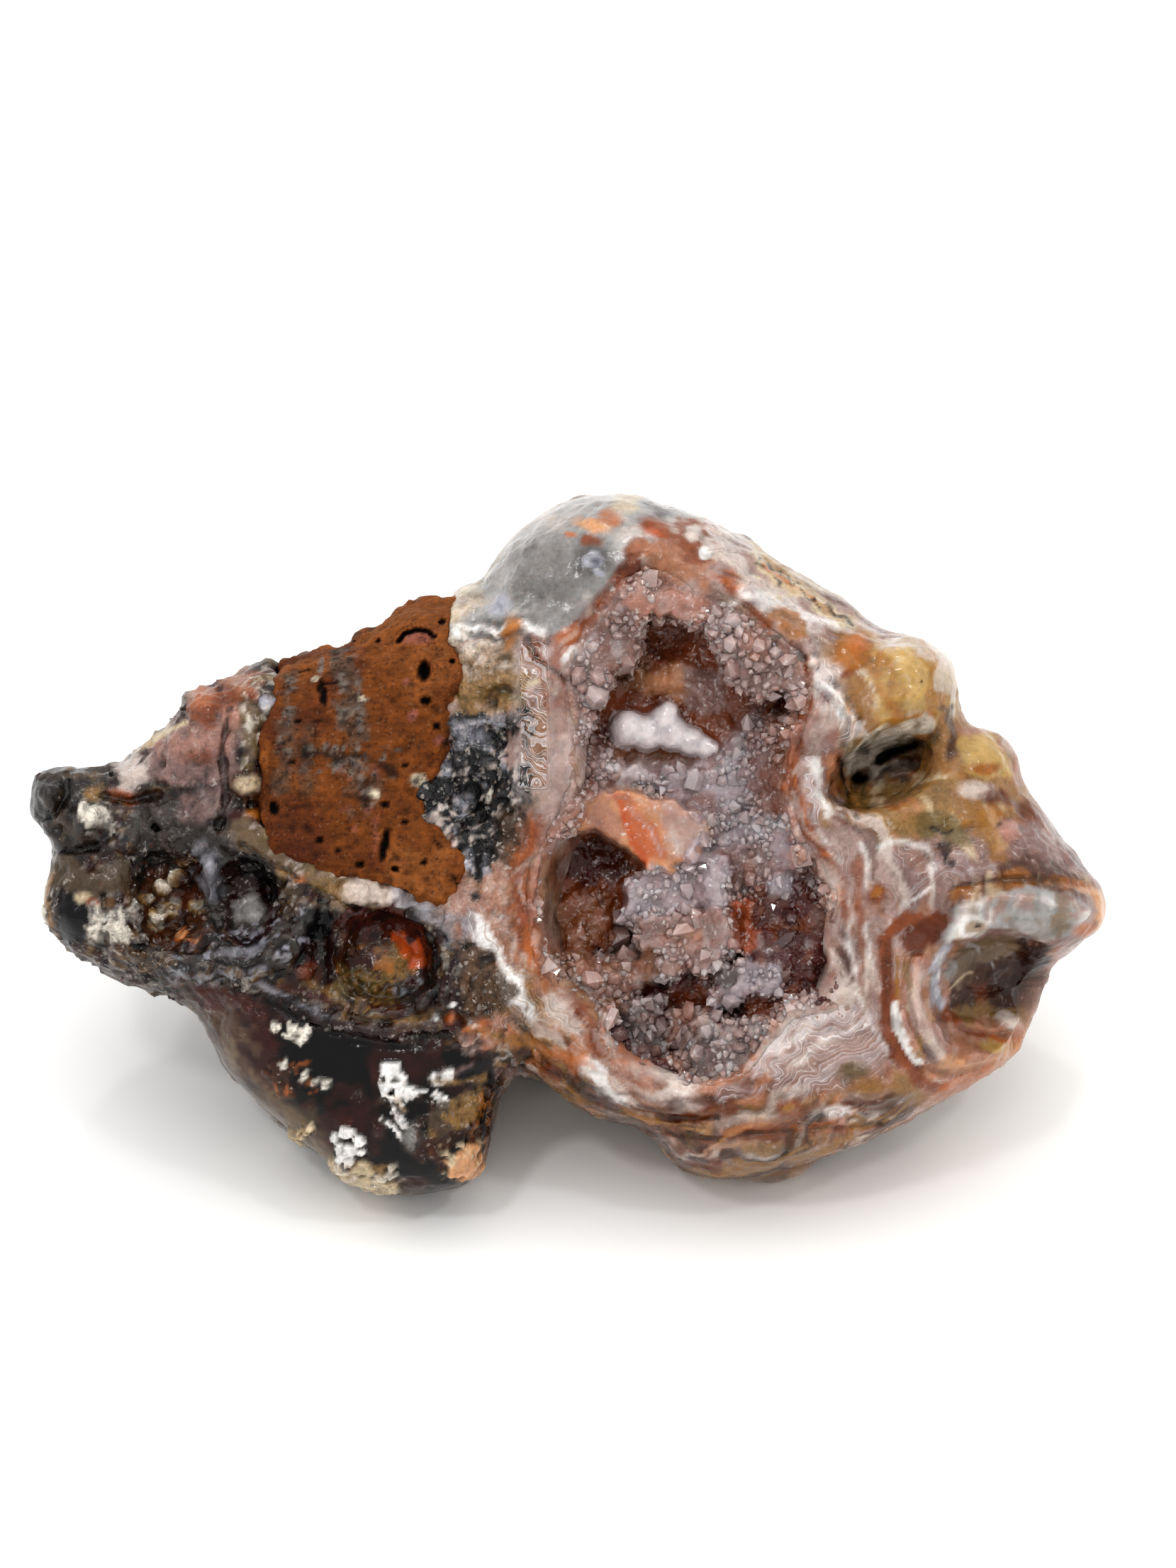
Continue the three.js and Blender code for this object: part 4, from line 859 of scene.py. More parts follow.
# White dots: the two on the glossy nodules, at 636,1412 and 620,1436, are painted highlights; the other two
# are white dots of the stone.
for x_, y_ in ((666, 1440), (672, 1447), (636, 1412), (620, 1436)):
    spot(x_, y_, 5, 4, "white", 0, .5, .8)
streak([500,1430, 560,1438, 610,1430], 8, "tan", 6, 1.6, .6)

# The smooth glassy lobe: near black in the middle, brown where light gets through its edges.
LOBE = [262,1388, 380,1402, 440,1440, 500,1460, 700,1478, 705,1600, 690,1700, 470,1700, 330,1590, 270,1470]
patch(LOBE, "plum", 8, 1, 1)
mottled(LOBE, (5, "toffee", .7, 1), (3.4, "maroon", .4, 99), (3, "coal", .4, 2))
patch([264,1384, 330,1386, 370,1400, 372,1432, 330,1440, 286,1436], "maroon", 16)
patch([352,1440, 395,1450, 396,1530, 360,1530], "toffee", 18, 1.6)
patch([286,1436, 346,1420, 356,1470, 352,1530, 318,1515], "horn", 22, 1.8, .85)
patch([318,1520, 390,1530, 465,1610, 462,1650, 370,1590], "horn", 26, 1.6, .7)
patch([286,1436, 352,1425, 352,1460, 300,1480], "umber", 18, 3, .5)
mottled([280,1425, 360,1420, 470,1620, 440,1660, 310,1540], (2.6, "toffee", .5, 3))
streak([264,1400, 287,1470, 320,1535, 372,1588, 440,1643], 9, "smoke", 7, 1.6)
patch([392,1496, 416,1494, 420,1516, 436,1520, 440,1538, 400,1538], "umber", 7, 3)
mottled([388,1492, 440,1490, 446,1540, 390,1542], (.9, "orange", .8, 4))
patch([397,1450, 414,1444, 435,1452, 430,1486, 408,1489], "chalk", 3.5, 3.2, 1)
for blot in ((460, 1448, 6, 6), (433, 1510, 5, 8), (448, 1524, 4, 4), (462, 1530, 8, 5), (404, 1470, 5, 4)):
    spot(*blot, "chalk", 0, .5, rag=2)
spot(432, 1595, 17, 9, "cream", 10, .35, 2)
mottled([410,1580, 452,1582, 452,1608, 412,1608], (.7, "tan", .7, 5))
# White lumps, each over a slate rim that shows mostly below it: painted shade under and between the lumps.
for x_, y_, r_ in ((478, 1602, 9), (492, 1596, 10), (507, 1604, 10), (484, 1616, 9), (499, 1618, 11),
        (512, 1620, 8), (486, 1630, 9), (500, 1634, 8)):
    spot(x_, y_, r_, r_, "slate", 0, .3, .4, .8)
    spot(x_, y_ - 1, r_ * .8, r_ * .75, "white", 0, .35)
patch([474,1640, 530,1634, 562,1660, 558,1682, 500,1676], "cream", 8, 1.6)
SCAB = [470,1636, 560,1636, 562,1684, 480,1680]
mottled(SCAB, (1.1, "tan", .7, 6), (.8, "chalk", .7, 7))
patch([541,1542, 562,1502, 578,1516, 606,1530, 613,1544, 588,1560, 582,1584, 560,1592, 546,1570], "white",
    3, 3.2, 1)
mottled([536,1500, 614,1502, 614,1592, 536,1592], (.9, "smoke", .75, 8))
mottled([536,1540, 590,1540, 590,1580, 540,1580], (1.2, "ochre", .4, 9))
patch([570,1562, 602,1552, 604,1604, 578,1606], "slate", 7, 2, .8)
streak([614,1520, 636,1508], 15, "white", 4, 2.4, 1)
mottled([606,1500, 645,1498, 645,1528, 606,1530], (.7, "smoke", .7, 10))
streak([640,1512, 668,1498], 9, "mauve", 7, 2, .7)
streak([613,1522, 650,1524, 683,1514], 7, "tan", 5, 2)
CHIP = [608,1562, 640,1558, 642,1608, 612,1612]
patch(CHIP, "smoke", 6, 1.8)
mottled(CHIP, (1.2, "tan", .9, 11))
patch([648,1542, 670,1540, 672,1584, 650,1586], "tan", 6, 1.8)
mottled([590,1535, 690,1535, 690,1650, 590,1650], (1.6, "umber", .9, 12))
mottled([600,1600, 690,1590, 690,1650, 600,1640], (1.1, "plum", .8, 13))
patch([628,1622, 668,1612, 682,1640, 660,1660, 630,1656], "peach", 5, 1.6, .95)
mottled([624,1612, 684,1608, 684,1662, 626,1662], (1, "cream", .9, 14))
streak([690,1540, 698,1590, 690,1650], 12, "umber", 6, 1.6, .9)
mottled([672,1530, 705,1530, 705,1660, 672,1660], (1.2, "amber", .7, 15))
streak([568,1680, 620,1690, 680,1668], 18, "smoke", 14, 1, .75)
spot(565, 1684, 5, 3, "rust")

# White wisps, tan clouds and stains on the nodule's right side.
RIGHT = [1150,1130, 1290,1170, 1330,1230, 1300,1300, 1240,1300, 1232,1440, 1180,1410, 1160,1260]
mottled(RIGHT, (3, "tan", .7, 20), (2, "salmon", .6, 21))
mottled(RIGHT, (1.4, "milk", .8, 22), banding=.1)
mottled(RIGHT, (1.1, "umber", .5, 23))
for line in ([1150,1170, 1165,1200, 1185,1215], [1188,1250, 1196,1290, 1192,1330, 1202,1370],
        [1212,1190, 1216,1230, 1226,1262], [1240,1196, 1268,1184, 1298,1196, 1312,1226],
        [1205,1400, 1224,1440, 1250,1480], [1216,1300, 1222,1350]):
    streak(line, 4.5, "white", 6, 2.2, .6, banding=0)
streak([1206,1210, 1204,1260, 1212,1320, 1212,1380], 7, "rust", 6, 2, .7)
spot(1232, 1262, 14, 12, "rust", 0, .6, 1.5)
spot(1232, 1260, 7, 6, "amber", 0, .6, 1.5)
streak([1150,1075, 1145,1100, 1152,1128, 1166,1148], 15, "white", 7, 2, .9, banding=.4)
streak([1160,968, 1182,985, 1178,1008], 17, "white", 9, 2.4, .9, banding=.1)
streak([1128,1010, 1122,1050, 1114,1090, 1116,1130], 8, "orange", 6, 2, .6)
RUST_LINES = [
    [1136,960, 1140,1000, 1126,1040, 1116,1080, 1112,1120],
    [1116,1124, 1130,1160, 1158,1204, 1182,1244, 1190,1290],
    [1010,818, 1052,852, 1082,886, 1112,914, 1132,930],
    [905,778, 868,838, 830,880, 796,912, 780,950, 772,1000],
    [748,1170, 736,1220, 734,1280, 750,1340], [752,1345, 790,1400, 836,1446, 862,1500]]
for line in RUST_LINES:
    streak(line, 9, "rust", 6, 2.6, .75)
    by = ease(1.4 - line_away(rind.xy, line)[0] / 16) * rind.front
    for size, name, much, seed in ((1.4, "brick", .9, 661), (1.1, "lilac", .7, 663),
            (.9, "orange", .5, 665), (.9, "milk", .4, 667)):
        rind.lay(by * ease(mottle(rind.flow, size, seed, 3, .6) * 2.8 - .6) * much, name, banding=0)

# Browns, whites and dark stains low on the nodule.
LOW = [690,1440, 800,1500, 900,1560, 1100,1560, 1280,1540, 1300,1570, 1220,1650, 940,1670, 820,1600,
    700,1500]
mottled(LOW, (3, "umber", .85, 30), (2.4, "lilac", .5, 31), (2, "ochre", .75, 32), (1.7, "tan", .7, 36),
    (1.2, "white", .3, 33), (1.4, "brick", .8, 34), (1, "peat", .7, 35), soft=20)
streak([1290,1290, 1262,1304, 1247,1324, 1243,1380, 1248,1436, 1262,1482, 1288,1520, 1330,1536], 15, "rust",
    4, 1, 1)
streak([1240,1340, 1238,1400, 1244,1450, 1262,1500], 6, "brick", 4, 1.4, .7)
streak([1330,1536, 1380,1522, 1430,1492, 1448,1462], 11, "orange", 6, 1.8, .7)
streak([1256,1416, 1262,1446, 1277,1476, 1293,1497], 9, "white", 3, .8, 1, banding=0)

# Layers of agate, counted outwards from the hollow, the cup and the nose. They crimp as they go.
cup = np.abs(np.hypot((x - 1400) / 1.05, y - 1396) / MARK - 4.2)
nose = line_away(marks_of(place), [1335,1292, 1450,1286, 1550,1292])[0] / MARK
away = np.minimum(np.minimum(rim / MARK, cup + .6), nose + 1.2)
crimp = mottle(place, 2.4, 23, 2) * .7 + mottle(place, .9, 29, 2) * .25
layer = away / .95 + crimp + .35 * np.sin(rim_along / MARK * 2.6 + 2.5 * mottle(place, 3, 31, 2))

frill = ease((802 - x) / 30) * ease((x - 715) / 20) * ease((1150 - y) / 40) * ease((y - 880) / 30)
layer += frill * (y / MARK * 1.5 + 1.6 * mottle(place, 1.4, 33, 2))
faint = .8 * ease(1.4 - cup / 3) * ease((x - 1262) / 20)
rind.banding = np.maximum(rind.banding, frill * .9) * (1 - .85 * ease((4.2 - nose) * .6)) * (1 - faint)

# Stone fills the joint round the rock.
ROCK_JOINT = [396,935, 394,1180, 470,1240, 560,1262, 640,1300, 652,1240, 623,1152, 578,1116, 635,1044,
    634,990, 655,950, 640,880, 655,815]
joint_near = ease(1.5 - line_away(marks_of(place), ROCK_JOINT)[0] / 18) * (place[:, 2] > -2)

# The nodule's broken face is waxy and smooth, and smoothest round the cup and the nose.
polished = rind.front * ease((x - 1240) / 30) * ease((y - 1230) / 30)
rind.finish[:, 1] *= 1 - .45 * rind.front * ease((x - 730) / 60) - .3 * polished
grain = rind.finish[:, 1]
normal = normals_of(stone.data)
tiny = beads(place, .7, 211)[0]
small, _, small_own = beads(place + mottle(place, 2, 43, 1)[:, None] * .4, 1.7, 223)
dark = ease((660 - x) / 60) * rind.front
broken, broken_next, broken_own = beads(place + mottle(place, 4, 47, 2)[:, None] * .9, 2.3, 229)
raw = ease((grain - .22) / .3) * (1 - ease(rind.banding * 2))
rise = mottle(place, 5, 11, 3) * .28 + mottle(place, 1.2, 17, 3) * (.07 + .26 * grain)
rise += (.5 - tiny) * (.06 + .3 * grain) * rind.front * (rind.finish[:, 0] > .14)
rise += ((broken_own - .5) * .95 * ease((broken_next - broken) * 5) - .12) * raw * rind.front
rise -= ease(mottle(place, 1.7, 53, 2) * 2.2 - 1.15) * .55 * raw * rind.front
fire = ease(1.1 - np.hypot(*off.T) / 62) * rind.front
rise += ((dome(tiny) - .6) * .3 * fire * ease((y - 1350) / 20)
         + mottle(place, 1.5, 57, 2) * .2 * fire)
rise += dome(small) * .3 * dark * ease(grain * 3 - .5) * (1 - joint_near)
rise += np.sin(layer * 2 * np.pi) * .075 * rind.banding
rise += behind * (dome(bead, 1.02) * 1.5 - .8 + dome(small) * .35)
calm = np.where(rind.finish[:, 0] < .14, .35, 1)
# White and tan crusts stand a little proud of the glassy lobe.
crusted = ease((rind.paint.sum(1) - .55) / .3) * (x < 700) * (y > 1440) * rind.front
rise = rise * calm + crusted * (.3 + .25 * small_own)
place = place + normal * rise[:, None]
seam = joint_near * (.6 * (1 - np.abs(normal[:, 2])) + .4 + .35 * ease((430 - x) / 20))
place += normal * seam[:, None]
standing = from_face(place)
standing[:, 2] = np.maximum(standing[:, 2], 0)
place = to_face(standing)
set_points(stone.data, place)

# Shade is painted into what lies low, and light is painted onto what stands proud.
dip = dips_of(stone.data, place, normals_of(stone.data))
painted_shade = .62 * ease(dip / .055) * (.4 + .6 * rind.front) * (1 - .8 * joint_near) * (1 - .6 * polished)
rind.paint *= (1 - painted_shade)[:, None]
painted_light = ease(-dip / .06) * .4 * (rind.finish[:, 0] > .14)
rind.paint += (np.clip(rind.paint * 1.5 + .03, 0, .85) - rind.paint) * painted_light[:, None]


class Wire:
    """A socket in a material. Sums on it add the Math nodes that work them out."""

    def __init__(self, tree, socket=None):
        self.tree, self.socket = tree, socket

    def node(self, kind, settings={}, sockets={}, outlet=0):
        n = self.tree.nodes.new("ShaderNode" + kind)
        for name, value in settings.items():
            setattr(n, name, value)
        for name, value in sockets.items():
            if isinstance(value, Wire):
                self.tree.links.new(value.socket, n.inputs[name])
            else:
                n.inputs[name].default_value = value
        return Wire(self.tree, n.outputs[outlet])

    def also(self, outlet):
        return Wire(self.tree, self.socket.node.outputs[outlet])

    def sum(self, operation, a, b=0.0):
        return self.node("Math", {"operation": operation}, {0: a, 1: b})

    def __add__(self, other): return self.sum("ADD", self, other)
    def __radd__(self, other): return self.sum("ADD", other, self)
    def __sub__(self, other): return self.sum("SUBTRACT", self, other)
    def __rsub__(self, other): return self.sum("SUBTRACT", other, self)
    def __mul__(self, other): return self.sum("MULTIPLY", self, other)
    def __rmul__(self, other): return self.sum("MULTIPLY", other, self)

    def between(self, low, high):
        return self.node("MapRange", {"interpolation_type": "SMOOTHSTEP"}, {
            "Value": self, "From Min": low, "From Max": high, "To Min": 0.0, "To Max": 1.0})

    def over(self, colour, other):
        """The colour, and the other pigment where this is 1."""
        return self.node("Mix", {"data_type": "RGBA"}, {
            0: self, 6: colour, 7: (*pigment(other), 1)}, 2)

    def shade(self, colour):
        """The colour, made lighter or darker by this."""
        return self.node("VectorMath", {"operation": "SCALE"}, {0: colour, "Scale": self})


def cloud(w, at, size, detail=3.0, rough=.6, twist=0.0):
    return w.node("TexNoise", {"noise_dimensions": "3D"}, {
        "Vector": at, "Scale": 1000 / size, "Detail": detail, "Roughness": rough, "Distortion": twist})


def speck(w, at, size, outlet=0):
    return w.node("TexVoronoi", {"feature": "F1"}, {"Vector": at, "Scale": 1000 / size}, outlet)


def wear(piece, paint, finish, **numbers):
    """Keeps what is laid over the points with the mesh, for its material."""
    ones = np.ones((len(paint), 1))
    for name, values in (("paint", paint), ("finish", finish)):
        kept = piece.data.attributes.new(name, "FLOAT_COLOR", "POINT")
        values = np.hstack([np.clip(values, 0, 1), ones])
        kept.data.foreach_set("color", np.ascontiguousarray(values, dtype=np.float32).ravel())
    for name, values in numbers.items():
        kept = piece.data.attributes.new(name, "FLOAT", "POINT")
        kept.data.foreach_set("value", np.ascontiguousarray(values, dtype=np.float32))


def stuff(name):
    """A new material, and a Wire to build it with."""
    m = bpy.data.materials.new(name)
    m.use_nodes = True
    m.node_tree.nodes.clear()
    return m, Wire(m.node_tree)


def laid_on(w):
    """Where a place is on its piece, and the colour and finish laid there."""
    at = w.node("TexCoord", outlet="Object")
    paint = w.node("Attribute", {"attribute_name": "paint"}, outlet="Color")
    finish = w.node("Attribute", {"attribute_name": "finish"}, outlet="Color")
    return at, paint, w.node("SeparateColor", {}, {0: finish})


def end(w, shader):
    out = w.tree.nodes.new("ShaderNodeOutputMaterial")
    w.tree.links.new(shader.socket, out.inputs["Surface"])


def chalcedony():
    """Waxy to glassy agate: layers, clouds and sugary grains, and light goes some way into it."""
    m, w = stuff("chalcedony")
    at, paint, dull = laid_on(w)
    grainy, glow = dull.also(1), dull.also(2)
    layers = w.node("Attribute", {"attribute_name": "layer"}, outlet="Fac")
    banding = w.node("Attribute", {"attribute_name": "banding"}, outlet="Fac")
    fine, broad, soft = cloud(w, at, .45, 4, .65), cloud(w, at, 2.6, 3, .6, .4), cloud(w, at, 1.5, 1.5, .5)
    crimped = layers + (soft - .5) * 1.5 + (fine - .5) * .12
    ring = w.node("TexNoise", {"noise_dimensions": "1D"}, {
        "W": crimped * .8, "Scale": 1.0, "Detail": 3.0, "Roughness": .65})
    colour = ((fine - .5) * (grainy * 1.7 + .5) + (broad - .5) * 1.0 + 1.0).shade(paint)
    # rusty stains and a white bloom, where the stone is rough
    stain = cloud(w, at, .8, 4, .7, .6).between(.58, .68) * dull.between(.12, .2)
    colour = (stain * grainy.between(.08, .35) * .45).over(colour, "5a2c18")
    bloom = cloud(w, at, 1.1, 4, .7, .4).between(.6, .7) * dull.between(.12, .2)
    colour = (bloom * (grainy.between(.08, .35) * .25 + .15)).over(colour, "e6dad2")
    # pale and brown layers, then thin white lines and rusty veins between them
    colour = (ring.between(.5, .58) * banding * .5).over(colour, "ddd3d4")
    colour = (ring.between(.44, .36) * banding * .55).over(colour, "94603c")
    comes = cloud(w, at, 3.2, 2, .6) + (banding - .35) * .35
    line = w.sum("ABSOLUTE", w.sum("FRACT", crimped * 1.7) - .5)
    colour = (line.between(.4, .47) * comes.between(.42, .58) * banding * .85).over(colour, "eee6e4")
    vein = w.sum("ABSOLUTE", w.sum("FRACT", crimped * .83 + .3) - .5)
    colour = (vein.between(.43, .47) * comes.between(.52, .4) * banding * .8).over(colour, "86441c")
    # single grains, some of them pale and some dark
    lot = w.node("SeparateColor", {}, {0: speck(w, at, .3, 1)})
    colour = ((lot - .5) * grainy * .7 + 1.0).shade(colour)
    colour = (lot.also(1).between(.92, .95) * grainy.between(.25, .7) * .5).over(colour, "c9c0b6")
    colour = (lot.also(2).between(.92, .95) * grainy.between(.25, .7) * .6).over(colour, "1c1614")
    rough = dull * .75 + (fine - .5) * .3 * grainy + lot * grainy * .2 + .02
    height = fine * (grainy * .8 + .03) + speck(w, at, .3) * grainy * .8 + ring * banding * .35
    bump = w.node("Bump", {}, {"Strength": .55, "Distance": .00022, "Height": height})
    look = {"Base Color": colour, "Roughness": rough, "Normal": bump, "IOR": 1.54}
    matt = w.node("BsdfPrincipled", {}, {**look, "Specular IOR Level": .22})
    waxy = w.node("BsdfPrincipled", {"subsurface_method": "RANDOM_WALK"}, {
        **look, "Specular IOR Level": .35, "Subsurface Weight": .7,
        "Subsurface Radius": (1.0, .5, .32), "Subsurface Scale": .0006,
        "Coat Weight": .15, "Coat Roughness": .08})
    end(w, w.node("MixShader", {}, {0: glow, 1: matt, 2: waxy}))
    return m


def stand(piece, node, material, sharp=None):
    """Stands the piece in its place on the floor, and hides the solid that it stands for, if one is given.
    """
    set_points(piece.data, from_face(points_of(piece.data)))
    piece.data.materials.append(material)
    choose(piece)
    if sharp:
        bpy.ops.object.shade_smooth_by_angle(angle=radians(sharp))
    else:
        bpy.ops.object.shade_smooth()
    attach(piece, "root")
    if node:
        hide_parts(node)


wear(stone, rind.paint, rind.finish, layer=layer, banding=rind.banding * rind.front)
agate = chalcedony()
stand(stone, "agate_body", agate)

# ---------------------------------------------------------------- rhyolite block
# The rock that the stone grew on: brown volcanic rock, broken flat and matt. It is pitted where
# gas left bubbles in it, cracked, and crossed by streaks of grey quartz. It grew into the stone.
rock = rough_copy("rhyolite_matrix", "rock", .55)
finish_with(rock, "SMOOTH", factor=.5, iterations=2)
refine(rock, lambda m, n: (n[:, 2] > -.2) & (m[:, 2] > 0))
finish_with(rock, "SMOOTH", factor=.5, iterations=1)
place = points_of(rock.data)
normal = normals_of(rock.data)
xy = marks_of(place)
in_stone = ease((xy[:, 1] - 960 - (640 - xy[:, 0]) * .1) / 40)
swollen = (.1 + .5 * in_stone) * ease(1 - normal[:, 2] * 1.4)
swollen += mottle(place, 1.8, 337, 3, .6) * .45 * ease(1 - np.abs(normal[:, 2]) * 1.2)
place += normal * swollen[:, None]
crag = Surface(place, "rust", .8)
crag.front = ease((place[:, 2] + 2) / 3)
FINISHES.update({
    "tawny": ("94592a", .8, .5, 0), "liver": ("5c3013", .8, .5, 0), "dun": ("5f4e42", .6, .8, 0),
    "quartz": ("7b6f66", .4, .9, .2), "soot": ("20150f", .8, .3, 0), "hole": ("120a07", .9, .2, 0),
    "bone": ("c2b49c", .6, .5, .1), "rose": ("94584a", .7, .6, 0),
})
crag.paint[:] = pigment("7d471f")
crag.finish[:] = (.85, .5, 0)
crag.lay(ease(mottle(place, 5, 301) * 1.5 - .1) * .7, "liver")
behind = 1 - crag.front
for size, seed, name, much in ((6, 371, "dun", .7), (3, 373, "soot", .6), (2, 379, "liver", .8),
        (1.2, 383, "quartz", .6), (.9, 389, "hole", .7)):
    crag.lay(behind * ease(mottle(place, size, seed, 3, .6) * 2.4 - .6) * much, name)
crag.lay(ease(mottle(place, 4, 307) * 1.8 - .6) * .7, "tawny")
crag.patch([540,860, 640,830, 660,960, 600,980, 560,940], "tawny", 30, 2, .6)
crag.patch([370,1100, 470,1140, 440,1240, 370,1200], "liver", 30, 2, .7)
crag.patch([540,1180, 640,1200, 650,1290, 560,1250], "tawny", 24, 2, .8)
crag.streak([420,920, 500,880, 560,850, 640,815], 10, "rose", 10, 2, .7)
for a, b, wide, much in (
        ((484, 918), (500, 985), 17, .9), ((492, 995), (508, 1080), 20, .8),
        ((462, 1060), (490, 1075), 16, .7), ((408, 960), (404, 1110), 13, .75),
        ((505, 1085), (520, 1150), 24, .75), ((440, 1030), (436, 1120), 9, .5)):
    crag.streak([a, b], wide * 1.3, "dun", 9, 3, much * .8)
    (ax, ay), (bx, by) = a, b
    box = [(ax - wide, ay - 6), (ax + wide, ay - 6), (bx + wide, by + 6), (bx - wide, by + 6)]
    crag.mottled(box, (.9, "quartz", much, 70 + ax % 7), (.7, "soot", much * .8, 80 + ax % 7), soft=14)
crag.streak([440,1062, 478,1074, 520,1066, 552,1090], 15, "soot", 8, 2)
crag.mottled([436,1052, 552,1052, 556,1100, 440,1092], (.7, "quartz", .9, 90))
crag.mottled([484,1080, 535,1080, 540,1200, 480,1200], (1.1, "rose", .5, 91))
crag.spot(595, 1102, 10, 8, "bone")
for blot in ((445, 960, 4, 4, "bone"), (455, 940, 4, 10, "quartz"), (515, 988, 5, 4, "bone"),
        (528, 1120, 5, 4, "bone"), (560, 1060, 4, 3, "quartz"), (585, 1010, 5, 4, "rose"),
        (575, 960, 5, 4, "rose"), (620, 1045, 5, 4, "rose"), (500, 1150, 5, 4, "bone")):
    crag.spot(*blot, 0, .5, rag=.8)
HOLES = [(600,948, 8,14, 1.2), (625,880, 5,4, .6), (603,990, 7,6, .8), (390,1140, 6,9, .7),
    (455,1185, 6,4, .6), (545,1135, 5,5, .6), (510,1218, 6,4, .6), (458,980, 5, 18, 10, .7),
    (545,1192, 5, 22, -10, .8), (618,1026, 4,5, .5), (575,1080, 4,3, .5), (640,935, 4,4, .6),
    (480,1200, 4,3, .5), (560,1225, 5,4, .6), (425,1020, 4,3, .4), (535,905, 3,3, .4),
    (415,1075, 3,4, .4), (500,905, 3,2, .3), (575,1160, 4,3, .5), (600,1215, 4,4, .5)]
# The holes and cracks are sunk and painted near black: painted shade in them.
sunk = np.zeros(len(place))
xy = marks_of(place) + crag.rag[:, None] * .12
for *where, deep in HOLES:
    m = ease((1.25 - oval(xy, *where)) / .5) * crag.front
    sunk = np.maximum(sunk, m * deep * 1.3)
    crag.lay(m, "hole")
crag.spot(590, 902, 24, 9, "rose", 8, .5, .5, .8)
CRACKS = [([564,906, 572,896, 588,890, 604,892, 614,900], 3, 1.1), ([424,950, 440,946], 1.6, .4),
    ([458,966, 482,964], 1.6, .4), ([434,1022, 456,1018], 1.5, .4), ([398,1050, 414,1046], 1.5, .3),
    ([486,1165, 504,1170], 1.5, .3), ([612,1180, 628,1200], 1.5, .4), ([640,1235, 652,1255], 2, .5)]
for line, wide, deep in CRACKS:
    m = ease((wide * 1.4 - line_away(xy, line)[0]) / 2.5) * crag.front
    sunk = np.maximum(sunk, m * deep)
    crag.lay(m, "hole")
ROCK_EDGE = [655,815, 640,880, 655,950, 634,990, 635,1044, 615,1072, 578,1116, 623,1152, 645,1200, 648,1250]
# Painted shade along the rock's right edge, in the gap where it meets the stone; the edge is also sunk a
# little there.
gap_shade = ease((2.5 + crag.rag * 1.1 - line_away(marks_of(place), ROCK_EDGE)[0]) / 8)
crag.lay(gap_shade * crag.front * ease(mottle(place, 1.5, 367) * 2 + .2) * .7, "soot")
sunk = np.maximum(sunk, gap_shade * .25 * crag.front)
chip, chip_next, chip_own = beads(place * (1, .7, 1), 2.6, 331)
rise = mottle(place * (.25, 1, 1), .7, 343, 2) * .12 + mottle(place, 1.4, 341, 3) * .16
rise += mottle(place, .5, 347, 2) * .1
rise += (chip_own - .5) * .34 * ease((chip_next - chip) * 4)
rise += ease(mottle(place, 3.4, 353) * 2) * .4
place[:, 2] += rise * crag.front * ease(normal[:, 2] * 2) - sunk
rise = mottle(place, 3, 359, 3) * .6 + (chip_own - .5) * .5 * ease((chip_next - chip) * 4)
place += normal * (1 - crag.front)[:, None] * rise[:, None]
set_points(rock.data, place)
# Painted shade in what lies low on the rock, and painted light on what stands proud.
dip = dips_of(rock.data, place, normals_of(rock.data))
crag.paint *= (1 - .5 * ease(dip / .05) + .3 * ease(-dip / .05))[:, None]


def rhyolite():
    """Matt brown rock in fine grains, with lighter and darker ones through it."""
    m, w = stuff("rhyolite")
    at, paint, dull = laid_on(w)
    fine, broad = cloud(w, at, .3, 5, .7), cloud(w, at, 1.6, 4, .7, .3)
    drawn = w.node("Mapping", {"vector_type": "POINT"}, {"Vector": at, "Scale": (.22, 1.0, 1.0)})
    fibre = cloud(w, drawn, .35, 4, .65)
    colour = ((fine - .5) * 1.1 + (broad - .5) * 1.0 + (fibre - .5) * 1.1 + 1.0).shade(paint)
    lot = w.node("SeparateColor", {}, {0: speck(w, at, .22, 1)})
    grainy = dull.also(1)
    colour = (lot.between(.955, .97) * grainy * .4).over(colour, "a98468")
    colour = (lot.also(1).between(.9, .93) * grainy * .8).over(colour, "2c150b")
    colour = (cloud(w, at, .9, 3, .7).between(.6, .68) * .35).over(colour, "5e2c12")
    rough = dull * .9 + (fine - .5) * .3
    height = fine * .7 + broad * .6 + fibre * 1.2
    bump = w.node("Bump", {}, {"Strength": .6, "Distance": .00025, "Height": height})
    end(w, w.node("BsdfPrincipled", {}, {
        "Base Color": colour, "Roughness": rough, "Normal": bump, "IOR": 1.5,
        "Specular IOR Level": .2}))
    return m


wear(rock, crag.paint, crag.finish)
stand(rock, "rhyolite_matrix", rhyolite())

# ---------------------------------------------------------------- quartz crust
# The lining of the hollow: one crust of small quartz crystals over chalcedony, with a smooth white
# knob, an orange ledge over two small caves, and thin curtains of crystals along the rim. It grew
# last, inwards from the wall.


def mineral_points(uv, size, seed):
    """Height of six-sided points grown over a flat place, `size` apart."""
    q = uv / size
    i = np.floor(q).astype(np.int64)
    top = np.zeros(len(q))
    for c in range(9):
        cell = np.stack([i[:, 0] + c % 3 - 1, i[:, 1] + c // 3 - 1, np.full(len(q), seed)], 1)
        d = q - cell[:, :2] - np.stack([chance(cell, seed), chance(cell, seed + 3)], 1)
        turn, big = chance(cell, seed + 5) * np.pi, .45 + .6 * chance(cell, seed + 9)
        sides = (turn + k * np.pi / 3 for k in range(3))
        across = np.max([np.abs(d[:, 0] * np.cos(a) + d[:, 1] * np.sin(a)) for a in sides], axis=0)
        lean = d[:, 0] * (chance(cell, seed + 11) - .5) + d[:, 1] * (chance(cell, seed + 15) - .5)
        top = np.maximum(top, np.minimum((big - across) * 1.2, big * .55) + lean * .8)
    return top * size


